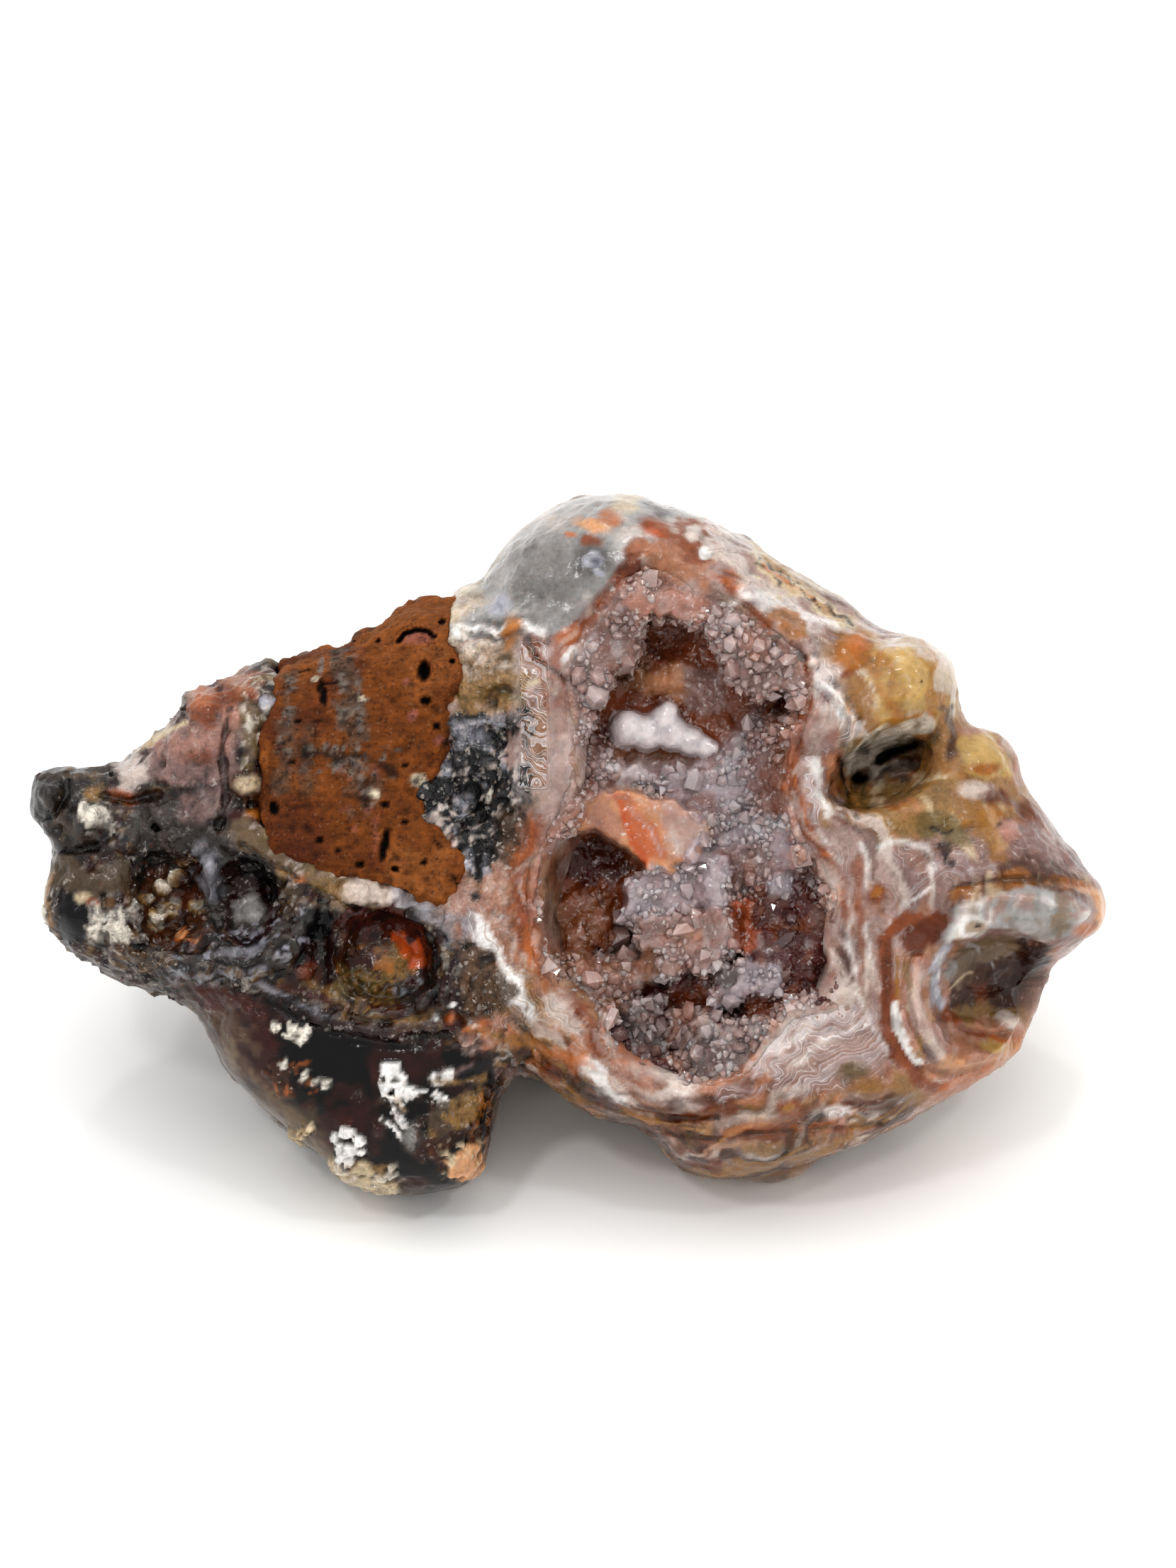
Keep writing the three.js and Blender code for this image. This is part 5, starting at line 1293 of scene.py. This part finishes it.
FINISHES.update({
    "frost": ("9f8078", .12, .1, .8), "blush": ("b2806e", .12, .1, .8), "dusk": ("7c5950", .12, .1, .7),
    "wine": ("4c1207", .16, .1, .2), "mist": ("b3a6ac", .1, .1, .8), "shell": ("d2c6c4", .12, .05, .9),
    "sand": ("7e5234", .16, .1, .3), "clay": ("80401e", .16, .1, .3), "steel": ("675a58", .06, .1, .8),
    "cinder": ("3c170b", .2, .1, .2), "apricot": ("d2986f", .2, .05, .7),
    "flame": ("c65b18", .2, .05, .5), "pearl": ("dfd6d6", .08, .0, .95),
})


def line_the_hollow(c):
    """Lays the crust's colours, depth under the rim in millimetres, and the size of its crystals."""
    c.depth[:] = 8.2 * ease((inside(c.xy, MOUTH) - 3) / 75)
    c.druse[:] = .8
    c.lay(ease((c.rag + 2) / 12) * .6, "frost")
    c.lay(ease(mottle(c.points, 3.1, 509) * 1.7 - .3) * .6, "dusk")
    c.lay(ease(mottle(c.points, 1.7, 511) * 2.4 - .7) * .5, "shell")
    # upper opening
    c.patch([870,850, 1000,820, 1110,950, 1120,1010, 1060,1040, 980,1080, 860,1060, 815,1040, 840,980],
        "clay", 16, 1, depth=6.2, druse=.5)
    c.patch([895,880, 990,870, 1010,930, 900,925], "clay", 30, 1, .4, depth=7.2)
    c.patch([868,920, 912,915, 915,975, 862,975], "sand", depth=6.6, druse=.9)
    c.patch([900,948, 970,945, 975,985, 905,985], "apricot", 12, 1.4, .7, depth=6.6, druse=.4)
    c.patch([965,945, 1025,945, 1030,1005, 970,1005], "frost", 12, 1, depth=6.4, druse=.5)
    c.patch([1045,975, 1115,985, 1110,1020, 1060,1015], "clay", 14, depth=5.6, druse=.8)
    # the slope of druse below it, and its right side
    c.patch([805,1035, 866,1045, 872,1110, 812,1118], "dusk", 22, depth=4.6, druse=.9)
    c.patch([860,1055, 990,1058, 995,1095, 860,1095], "sand", 12, 1.4, .6, depth=6.6, druse=.5)
    c.patch([868,1082, 1000,1078, 1060,1000, 1075,1040, 1060,1240, 1000,1240, 990,1150, 905,1120], "mist",
        30, 1.4, .85, depth=5, druse=.85)
    c.patch([868,1082, 915,1080, 918,1118, 870,1118], "shell", 14, 1.6, .7, depth=4.6, druse=.5)
    c.patch([1055,1030, 1100,1010, 1112,1080, 1110,1170, 1062,1180], "dusk", 20, 1.6, .8, depth=2.8,
        druse=.7)
    c.streak([1098,1030, 1095,1110, 1108,1180], 20, "brick", 12, 2, .7, depth=1.4, druse=.4)
    c.patch([1040,1150, 1110,1160, 1125,1250, 1060,1270], "mist", 18, 1.8, .8, depth=3.2, druse=.7)
    c.patch([1000,1195, 1084,1190, 1084,1290, 1005,1290], "dusk", 24, 1, .8, depth=3.8)
    # right and lower right: dark red, bumpy, with pale blue where crystals cover it
    c.patch([1062,1240, 1140,1215, 1178,1280, 1180,1405, 1080,1400, 1040,1330], "wine", 16, 1.6, .95,
        depth=2.6, druse=.6)
    red = [1062,1235, 1140,1215, 1182,1280, 1184,1408, 1080,1404, 1036,1330]
    c.mottled(red, (2, "maroon", .8, 96), (1.4, "brick", .9, 97), (1, "dusk", .35, 98),
        (.8, "cinder", .5, 99))
    c.spot(1070, 1215, 22, 24, "frost", 0, .8, 1.4, .9)
    c.spot(1102, 1245, 16, 13, "mist", 0, .8, 1.4, .9)
    c.spot(1148, 1290, 12, 22, "dusk", 0, .9, 1.4, .7)
    c.streak([1150,1350, 1185,1355, 1190,1400, 1150,1412], 12, "wine", 6, 1, .9, depth=1, druse=.3)
    c.spot(1156, 1396, 6, 5, "shell", 0, .6)
    c.patch([1028,1262, 1062,1268, 1066,1335, 1030,1340], "flame", 12, 1.4, .75, depth=3.4, druse=.5)
    c.patch([1034,1270, 1058,1275, 1060,1325, 1036,1330], "brick", 14, 1.4, .7)
    # white mass in the middle
    c.patch([882,1250, 905,1222, 945,1212, 1002,1198, 1036,1228, 1028,1275, 960,1292, 900,1300, 866,1298],
        "mist", 9, 1.6, .8, depth=3.3, druse=.8)
    c.patch([862,1250, 905,1248, 908,1300, 862,1302], "mist", 14, 1.4, .7, depth=4.2, druse=.7)
    c.patch([900,1296, 960,1284, 1026,1288, 1034,1330, 1012,1366, 986,1374, 966,1360, 946,1380, 920,1374,
        903,1345], "frost", 8, 1.6, depth=2.2, druse=.8)
    c.spot(965, 1322, 30, 13, "blush", 0, .9, 2, .7)
    c.spot(972, 1320, 13, 6, "apricot", 0, .9, 2, .6)
    c.streak([905,1372, 945,1376, 985,1370, 1020,1355], 8, "shell", 8, 1.5, .6)
    # ledge
    c.patch([826,1130, 858,1112, 905,1118, 950,1128, 992,1150, 1004,1186, 986,1214, 942,1224, 906,1216,
        885,1204, 864,1186, 840,1172, 812,1172], "apricot", 8, 1.2, 1, depth=2.6, druse=0)
    c.patch([866,1120, 884,1124, 920,1160, 936,1206, 906,1214, 884,1168], "flame", 16, 1.4, .75)
    c.patch([930,1130, 990,1152, 1002,1188, 970,1212, 940,1180], "shell", 20, 2, .6)
    c.patch([815,1150, 850,1120, 866,1130, 872,1170, 830,1170], "blush", 14, 2, .6)
    for line in ([890,1128, 930,1150, 958,1190], [905,1124, 950,1142, 982,1180],
            [885,1140, 912,1168, 930,1204]):
        c.streak(line, 3, "shell", 4, 2, .5)
    c.streak([868,1122, 884,1166, 906,1212], 9, "flame", 7, 1.4, .9)
    c.streak([872,1130, 880,1160], 6, "ember", 6, .9, .7)
    c.streak([915,1125, 960,1150, 985,1190], 20, "blush", 16, 2, .4)
    c.streak([820,1150, 845,1160, 870,1180], 10, "blush", 8, 1, .7)
    edge_of_ledge = [950,1118, 1010,1150, 1016,1200, 975,1228, 915,1222, 930,1196, 976,1190, 980,1160]
    c.mottled(edge_of_ledge, (1.2, "mist", .9, 118), druse=.7)
    c.mottled([815,1110, 1010,1110, 1010,1226, 815,1180], (1.3, "blush", .5, 119))
    # left cave
    c.patch([762,1232, 770,1202, 795,1180, 840,1173, 864,1187, 905,1216, 896,1236, 872,1246, 880,1262,
        862,1330, 830,1345, 772,1345, 758,1300], "clay", 6, .6, 1, depth=7.4, druse=.35)
    c.patch([764,1276, 800,1250, 845,1266, 862,1300, 846,1340, 805,1356, 768,1344], "sand", 34, 2, .7,
        depth=5.6, druse=.55)
    c.mottled([760,1240, 868,1240, 868,1350, 768,1352], (2, "clay", .7, 110), (1.3, "brick", .7, 111),
        (1, "blush", .5, 112))
    # Dark cinder along the cave's top under the ledge, and in its deepest hole: painted shade.
    c.patch([770,1190, 850,1180, 890,1220, 860,1250, 775,1240], "cinder", 14, 1.2, .8)
    c.spot(775, 1322, 5, 9, "cinder", depth=7.5, druse=0)
    # floor below, between the cave and the lower one
    c.patch([785,1350, 925,1345, 925,1400, 850,1425, 800,1400], "sand", 14, 1.6, depth=3.6, druse=.9)
    c.patch([815,1360, 900,1360, 900,1400, 830,1405], "blush", 18, 2, .6)
    c.patch([795,1385, 850,1400, 850,1445, 815,1440], "dusk", 14, 1.4, .7, depth=1.8, druse=.7)
    # lower cave
    c.patch([905,1382, 945,1384, 968,1366, 990,1380, 1018,1372, 1060,1350, 1100,1395, 1062,1440, 1000,1470,
        940,1478, 898,1440], "wine", 8, 1.4, 1, depth=5.4, druse=.5)
    c.patch([940,1395, 1000,1385, 1050,1400, 1000,1430, 950,1430], "clay", 26, 1.4, .6, depth=6)
    c.mottled([898,1380, 1100,1350, 1100,1400, 1000,1472, 898,1445], (1.8, "brick", .8, 113),
        (1.2, "rust", .6, 114), (.9, "dusk", .6, 115))
    c.patch([868,1415, 938,1408, 945,1470, 905,1498, 868,1480], "steel", 7, 1.4, .95, depth=3, druse=1.6)
    c.patch([938,1425, 1002,1422, 1008,1466, 945,1470], "blush", 8, 1.4, .95, depth=4.4, druse=1.5)
    c.patch([1040,1358, 1098,1356, 1102,1400, 1052,1412, 1000,1434, 994,1402], "mist", 9, 1.6, .8,
        depth=2.2, druse=1)
    c.patch([1040,1405, 1100,1395, 1105,1430, 1050,1440], "brick", 14, 1.4, .8, depth=3.2, druse=.7)
    c.spot(1022, 1378, 18, 17, "steel", 0, .4, depth=2.6, druse=0)
    # lower rim
    c.patch([846,1440, 900,1470, 945,1490, 980,1528, 922,1526, 868,1492], "wine", 9, 1.2, depth=3, druse=1)
    c.patch([965,1455, 1010,1438, 1085,1432, 1080,1475, 1040,1514, 985,1526, 962,1500], "steel", 9, 1.4,
        .85, depth=1.8, druse=1.1)
    c.patch([1000,1440, 1075,1436, 1060,1465, 1010,1470], "frost", 14, 1.6, .7)
    # curtains along the upper rim, level with the face
    c.patch([880,830, 906,880, 906,896, 890,936, 868,950, 855,998, 838,1002, 828,1036, 800,1060, 780,1000,
        800,900], "frost", 5, .9, 1, depth=.9, druse=.75)
    c.patch([880,840, 905,885, 880,940, 850,950, 840,900], "dusk", 16, 1.6, .6)
    c.patch([870,790, 1030,830, 1010,872, 999,884, 985,890, 964,878, 945,868, 930,877, 918,864, 903,884,
        880,850], "blush", 5, .8, 1, depth=.6, druse=.6)
    c.patch([1010,830, 1080,870, 1125,915, 1145,970, 1120,992, 1101,972, 1069,985, 1057,970, 1044,976,
        1028,955, 1031,938, 1012,925, 1002,905, 996,876], "frost", 5, .8, 1, depth=.8, druse=1.15)
    c.patch([1030,870, 1080,890, 1100,940, 1050,940], "blush", 20, 1.6, .7)
    c.lay(ease((9 - inside(c.xy, MOUTH)) / 12) * .9, None, depth=.1, druse=.2)


class Lining(Surface):
    """A surface whose marks fall in the same place whatever its depth."""

    def __init__(self, points):
        flat = points * (1, 1, 0)
        super().__init__(flat, "blush", .8)
        near, next_, own = beads(flat, 1.1, 431)
        self.rag = self.rag * .6 + (own - .5) * 10 * ease((next_ - near) * 4)
        self.front[:] = 1
        line_the_hollow(self)
        for size, seed, name, much in ((1.5, 521, "shell", .35), (2.6, 523, "dusk", .45),
                (.9, 527, "clay", .3)):
            self.lay(ease(mottle(flat, size, seed, 3) * 2.4 - .7) * much * ease(self.druse * 5 - 2.4), name)


# How high the face stands all round the mouth, and between.
face_points = to_face(points_of(stone.data))
tree = kdtree.KDTree(len(face_points))
for k, p in enumerate(face_points):
    if p[2] > 2:
        tree.insert(p * (1, 1, 0), k)
tree.balance()
lip = []
mouth = pairs(MOUTH)
for k in range(len(mouth)):
    for part in (0, .33, .67):
        m = mouth[k] * (1 - part) + mouth[(k + 1) % len(mouth)] * part
        out = (m - mouth.mean(0)) / np.linalg.norm(m - mouth.mean(0)) * 20
        p = at_mark(*(m + out))
        near = tree.find_n(p, 6)
        lip.append((*at_mark(*m)[:2], np.median([face_points[n[1]][2] for n in near])))
lip = np.array(lip)


def lip_height(uv):
    d = np.hypot(uv[:, 0, None] - lip[:, 0], uv[:, 1, None] - lip[:, 1]) + .4
    return (lip[:, 2] / d ** 2.5).sum(1) / (1 / d ** 2.5).sum(1)


KNOB = [(886,1028, 27, 4.6), (912,1034, 26, 4.8), (938,1014, 21, 4.4), (943,1003, 14, 3.9),
    (950,1036, 24, 4.7), (974,1046, 21, 4.6), (993,1053, 15, 4.3), (1006,1055, 8, 4.0)]
NODULES = [(921,963, 14, 7.0), (945,969, 12, 7.0), (958,955, 9, 7.0), (996,976, 27, 7.6),
    (855,1212, 23, 8.6), (1022,1378, 18, 3.6), (1075,1302, 13, 3.6), (1100,1290, 12, 3.4),
    (1128,1300, 12, 3.2), (1092,1322, 14, 3.4), (1120,1335, 14, 3.2), (1146,1330, 12, 2.8),
    (1086,1352, 12, 3.4), (1110,1364, 13, 3.0), (1140,1262, 12, 2.8), (1140,1372, 11, 2.4),
    (960,1400, 12, 8.2), (985,1396, 13, 8.2), (1010,1408, 12, 8.0), (1034,1404, 11, 7.6),
    (975,1416, 10, 8.2), (1118,1310, 10, 3.2), (1064,1330, 10, 3.8)]

STEP, CRUST_BACK = .27, -3.2
across, along = np.meshgrid(np.arange(-6, 27, STEP), np.arange(-24, 27.5, STEP), indexing="ij")
grid = np.stack([across.ravel(), along.ravel(), np.zeros(across.size)], 1)
within = inside(marks_of(grid), MOUTH)
keep = within > -24
lining = Lining(grid)
top = lip_height(grid[:, :2]) - lining.depth
deep_in = ease(within / 16)
top += .12 - 1.0 * ease(-within / 26)
swell, lump = beads(grid, 2.7, 61)[0], beads(grid, 1.35, 63)[0]
top += (dome(swell, 1.1) * 1.1 + dome(lump, 1.05) * .55 - .9) * ease(lining.druse * 2) * deep_in
top += (mineral_points(grid[:, :2], 1.6, 67) * .5 * ease(lining.druse * 2 - .9) * deep_in
        + mottle(grid, 3, 73, 3) * .7 * deep_in)
for x, y, r, deep in KNOB + NODULES:
    m = at_mark(x, y)
    away2 = (grid[:, 0] - m[0]) ** 2 + (grid[:, 1] - m[1]) ** 2
    r /= MARK
    ball = lip_height(m[None, :2])[0] - deep + np.sqrt(np.clip(r ** 2 - away2, 0, None)) * 1.15
    top = np.where((away2 < r ** 2) & (ball > top), ball, top)

# The crust as one closed solid on that height, remade in even quads so that its walls are as fine.
number = -np.ones(len(grid), int)
number[keep] = np.arange(keep.sum())
number = number.reshape(across.shape)
corners = np.stack([number[:-1, :-1], number[1:, :-1], number[1:, 1:], number[:-1, 1:]], -1)
faces = corners[(corners >= 0).all(-1)]
grid[:, 2] = top
mesh = bpy.data.meshes.new("crust")
mesh.from_pydata(grid[keep].tolist(), [], faces.tolist())
crust = bpy.data.objects.new("crust", mesh)
bpy.context.collection.objects.link(crust)
choose(crust)
bpy.ops.object.mode_set(mode="EDIT")
bpy.ops.mesh.select_all(action="SELECT")
bpy.ops.mesh.extrude_region_move()
bpy.ops.object.mode_set(mode="OBJECT")
place = points_of(mesh)
picked = np.empty(len(place), bool)
mesh.vertices.foreach_get("select", picked)
place[picked, 2] = CRUST_BACK
set_points(mesh, place)
bpy.ops.object.mode_set(mode="EDIT")
bpy.ops.mesh.select_all(action="SELECT")
bpy.ops.mesh.delete_loose()
bpy.ops.mesh.normals_make_consistent(inside=False)
bpy.ops.object.mode_set(mode="OBJECT")
finish_with(crust, "REMESH", mode="VOXEL", voxel_size=STEP)
place, normal = points_of(crust.data), normals_of(crust.data)
lining = Lining(place)
lining.points = place
sheer = 1 - ease(np.abs(normal[:, 2]) * 1.6)
knobby = np.zeros(len(place), bool)
for x, y, r, deep in KNOB:
    m = at_mark(x, y)
    close = np.hypot(place[:, 0] - m[0], place[:, 1] - m[1]) < r / MARK * 1.08
    knobby |= close & (place[:, 2] > lip_height(m[None, :2])[0] - deep - .9)
lining.lay(knobby * 1.0, "pearl", druse=0)
# Painted shade between the knob's round lobes, where they meet.
gap = np.min([np.hypot(*(marks_of(place) - (x, y)).T) / r for x, y, r, deep in KNOB], axis=0)
lining.lay(knobby * ease((gap - .55) / .5) * .4, "mist")
lining.lay(knobby * ease(mottle(place, 1.1, 91) * 2 - .2) * .5, "mist")
for x, y, r, deep in NODULES[:3]:
    lining.lay(ease(1.3 - np.hypot(*(marks_of(place) - (x, y)).T) / r), "apricot", druse=0)
lining.lay(sheer * .3, "frost")
# At its edge the crust has the colours of the layer that it grew from.
within = inside(marks_of(place), MOUTH)
edge = np.nonzero(within < 14)[0]
beside = [tree.find((*place[k, :2], 0))[1] for k in edge]
lining.paint[edge] += (rind.paint[beside] - lining.paint[edge]) * ease((14 - within[edge]) / 22)[:, None]
facet, facet_next, facet_own = beads(place, .8, 83)
rise = (facet_own - .5) * .3 * ease((facet_next - facet) * 3) + mottle(place, 1.0, 87, 2) * .1
rise *= ease(place[:, 2] + 3)
rise *= np.where(knobby, .05, np.where(lining.druse > .3, 1, .4))
place += normal * rise[:, None]
set_points(crust.data, place)


def quartz(name, ripple=.6, gloss=.5, clear=0.0):
    """Milky to clear quartz: glassy faces, light deep inside, and small pale clouds."""
    m, w = stuff(name)
    at, paint, dull = laid_on(w)
    fine, broad = cloud(w, at, .4, 4, .6), cloud(w, at, 1.5, 3, .6)
    colour = ((fine - .5) * .4 + (broad - .5) * .5 + 1.0).shade(paint)
    colour = (cloud(w, at, .7, 3, .7).between(.58, .7) * .45).over(colour, "efe9ea")
    height = (fine * .4 + speck(w, at, .45) * .8) * (dull.also(1) * 8.0 + .15)
    bump = w.node("Bump", {}, {"Strength": ripple, "Distance": .0002, "Height": height})
    rough = dull * .8 + (broad - .5) * .12
    look = {"Base Color": colour, "Roughness": rough, "Normal": bump, "IOR": 1.54}
    dense = w.node("BsdfPrincipled", {}, {**look, "Specular IOR Level": .25})
    lit = w.node("BsdfPrincipled", {"subsurface_method": "RANDOM_WALK"}, {
        **look, "Subsurface Weight": 1.0, "Subsurface Radius": (1.0, .7, .58),
        "Subsurface Scale": .0012, "Coat Weight": .1, "Coat Roughness": .04,
        "Specular IOR Level": gloss, "Transmission Weight": clear})
    end(w, w.node("MixShader", {}, {0: dull.also(2), 1: dense, 2: lit}))
    return m


wear(crust, lining.paint, lining.finish)
milky = quartz("milky quartz")
stand(crust, "quartz_crust", milky)

# ---------------------------------------------------------------- quartz crystals
# Short six-sided points of clear to milky quartz, from a third of a millimetre to two millimetres
# long. Each is rooted in the crust and grew out of it, leaning a little its own way.


def grow(name, seats, ups, wide, tall, tints, finish, seed, tip_light):
    """One mesh of many quartz points, each a six-sided prism with a pointed end."""
    rng = np.random.default_rng(seed)
    n = len(seats)
    side = np.cross(ups, np.where(np.abs(ups[:, 2:3]) < .8, (0, 0, 1), (1, 0, 0)))
    side /= np.linalg.norm(side, axis=1)[:, None]
    other = np.cross(ups, side)
    spin, flat = rng.uniform(0, np.pi, n), rng.uniform(.8, 1.25, n)
    points = np.empty((n, 13, 3))
    for k in range(6):
        angle = spin + k * np.pi / 3
        ray = side * (np.cos(angle) * flat)[:, None] + other * (np.sin(angle) / flat)[:, None]
        uneven = (.82 + .36 * rng.random(n))[:, None]
        corner = ray * (wide * .5)[:, None] * uneven
        shoulder = tall * (.42 + .16 * rng.random(n))
        points[:, k] = seats + corner - ups * (wide * .5)[:, None]
        points[:, 6 + k] = seats + corner + ups * shoulder[:, None]
    off = side * (rng.normal(0, .17, n) * wide)[:, None] + other * (rng.normal(0, .17, n) * wide)[:, None]
    points[:, 12] = seats + ups * tall[:, None] + off
    base = np.arange(n)[:, None] * 13
    sides = np.concatenate([base + np.array([k, (k + 1) % 6, 6 + (k + 1) % 6, 6 + k]) for k in range(6)])
    tips = np.concatenate([base + np.array([6 + k, 6 + (k + 1) % 6, 12]) for k in range(6)])
    feet = base + np.array([5, 4, 3, 2, 1, 0])
    mesh = bpy.data.meshes.new(name)
    mesh.from_pydata(points.reshape(-1, 3).tolist(), [], sides.tolist() + tips.tolist() + feet.tolist())
    piece = bpy.data.objects.new(name, mesh)
    bpy.context.collection.objects.link(piece)
    paint = np.repeat(tints, 13, axis=0).reshape(n, 13, 3)
    # Painted shade on each point's foot and painted light on its tip, standing in for light through the
    # quartz.
    paint[:, :6] *= .92
    paint[:, 12] += (pigment("efe4e2") - paint[:, 12]) * tip_light
    wear(piece, paint.reshape(-1, 3), np.tile(finish, (n * 13, 1)))
    return piece


CELL = .6


def thin_out(points, gaps, order):
    """Picks points in this order, keeping each clear of those already picked. They are kept by the
    cell of a grid that they fall in, so that only the ones near by are looked at."""
    taken, kept = {}, []
    for k in order:
        p, g = points[k], gaps[k]
        cell = tuple(np.floor(p / CELL).astype(int))
        reach = int(np.ceil(g / CELL))
        beside = (j for d in product(range(-reach, reach + 1), repeat=3)
                  for j in taken.get((cell[0] + d[0], cell[1] + d[1], cell[2] + d[2]), ()))
        if all(np.dot(points[j] - p, points[j] - p) >= (.5 * (g + gaps[j])) ** 2 for j in beside):
            taken.setdefault(cell, []).append(k)
            kept.append(k)
    return np.array(kept)


rng = np.random.default_rng(17)
place, normal = to_face(points_of(crust.data)), squared(normals_of(crust.data))
ok = (normal[:, 2] > -.25) & (inside(marks_of(place), MOUTH) > 3) & (lining.druse > .2) & (place[:, 2] > -2)
order = rng.permutation(np.nonzero(ok)[0])
size = np.clip(lining.druse * np.exp(rng.normal(-.1, .42, len(place))), .3, 1.6)
here = mottle(place, 2.4, 97, 2) + (lining.druse - .8) * 2 + ease(1 - normal[:, 2]) * .5
order = order[here[order] > rng.random(len(order)) * .9 - .12]
kept = thin_out(place, size * .85, order)
up = normal[kept] * .8 + (0, 0, .45) + rng.normal(0, .34, (len(kept), 3))
up /= np.linalg.norm(up, axis=1)[:, None]
pale = rng.random(len(kept))[:, None]
tint = lining.paint[kept] * (1 + .2 * rng.random(len(kept)))[:, None]
pale_here = np.clip(lining.paint[kept].mean(1) * 5, .12, 1)[:, None]
tint += (pigment("f0e6e6") - tint) * (pale ** 3 * .35 + .06) * pale_here
wide = size[kept] * (.85 + .5 * rng.random(len(kept)))
tall = size[kept] * (.75 + .65 * rng.random(len(kept)))
druse = grow("crystals", place[kept] - up * (size[kept] * .4)[:, None], up, wide, tall, tint,
             [.06, .05, .85], 19, .3 * pale_here)
stand(druse, None, quartz("clear quartz", .1, .9, .18), 20)

# ---------------------------------------------------------------- sugary grains
# Grains of quartz about a quarter of a millimetre wide, like sugar, grown over the rough parts of
# the stone's face and fast to it.
place, normal = to_face(points_of(stone.data)), squared(normals_of(stone.data))
likely = rind.front * ease((rind.finish[:, 1] - .42) / .3) * ease(1 - rind.banding * 2)
likely *= ease(normal[:, 2] + .5)
likely *= ease(mottle(place, 2.2, 601) * 1.5)
ok = (rng.random(len(place)) < likely * .8) & (inside(marks_of(place), MOUTH) < -4)
order = rng.permutation(np.nonzero(ok)[0])
size = np.exp(rng.normal(-1.5, .3, len(place)))
kept = thin_out(place, size * .9, order)
up = normal[kept] + rng.normal(0, .6, (len(kept), 3))
up /= np.linalg.norm(up, axis=1)[:, None]
tint = rind.paint[kept] * (.6 + .8 * rng.random(len(kept)))[:, None]
tint += (pigment("c9c0b8") - tint) * (rng.random(len(kept))[:, None] ** 4 * .35)
sugar = grow("grains", place[kept], up, size[kept], size[kept] * .7, tint, [.18, .1, .6], 23, 0)
stand(sugar, None, milky, 20)

# ---------------------------------------------------------------- floor, light and camera
# A plain white floor, one broad soft light above and a pale surround. The camera looks square to
# the broken face, from far enough off to keep its shape true.
bpy.ops.mesh.primitive_plane_add(size=4, location=(0, 0, 0))
floor = bpy.context.object
floor.name = "floor"
m, w = stuff("paper")
end(w, w.node("BsdfPrincipled", {}, {"Base Color": (.94, .94, .93, 1), "Roughness": .9}))
floor.data.materials.append(m)

world = bpy.data.worlds.new("surround")
bpy.context.scene.world = world
world.use_nodes = True
surround = world.node_tree.nodes["Background"].inputs
surround[0].default_value, surround[1].default_value = (1, 1, 1, 1), .86


def point_at(name, data, at, aim):
    """A light or camera at one place, looking at another."""
    o = bpy.data.objects.new(name, data)
    o.location = at
    o.rotation_euler = (Vector(aim) - Vector(at)).to_track_quat("-Z", "Y").to_euler()
    bpy.context.collection.objects.link(o)
    return o


for name, at, power, size in (("soft light", (.02, .02, .8), 2.0, .8),
                              ("small light", (-.22, -.3, .6), .5, .07),
                              ("second light", (.3, -.2, .52), .3, .05),
                              ("third light", (-.12, .32, .6), .3, .05)):
    light = bpy.data.lights.new(name, "AREA")
    light.energy, light.size = power, size
    point_at(name, light, at, (0, 0, .02))

FAR_OFF, IN_VIEW, SENSOR = 850.0, 103.7, 36
aim, look = from_face(np.array([[1.84, 5.25, 0.0], [1.84, 5.25, FAR_OFF]]))
camera = point_at("camera", bpy.data.cameras.new("camera"), look, aim)
camera.data.sensor_fit, camera.data.sensor_width = "HORIZONTAL", SENSOR
camera.data.lens = SENSOR * FAR_OFF / IN_VIEW
bpy.context.scene.camera = camera
bpy.context.scene.view_settings.view_transform = "Standard"
bpy.context.scene.view_settings.look = "Medium High Contrast"
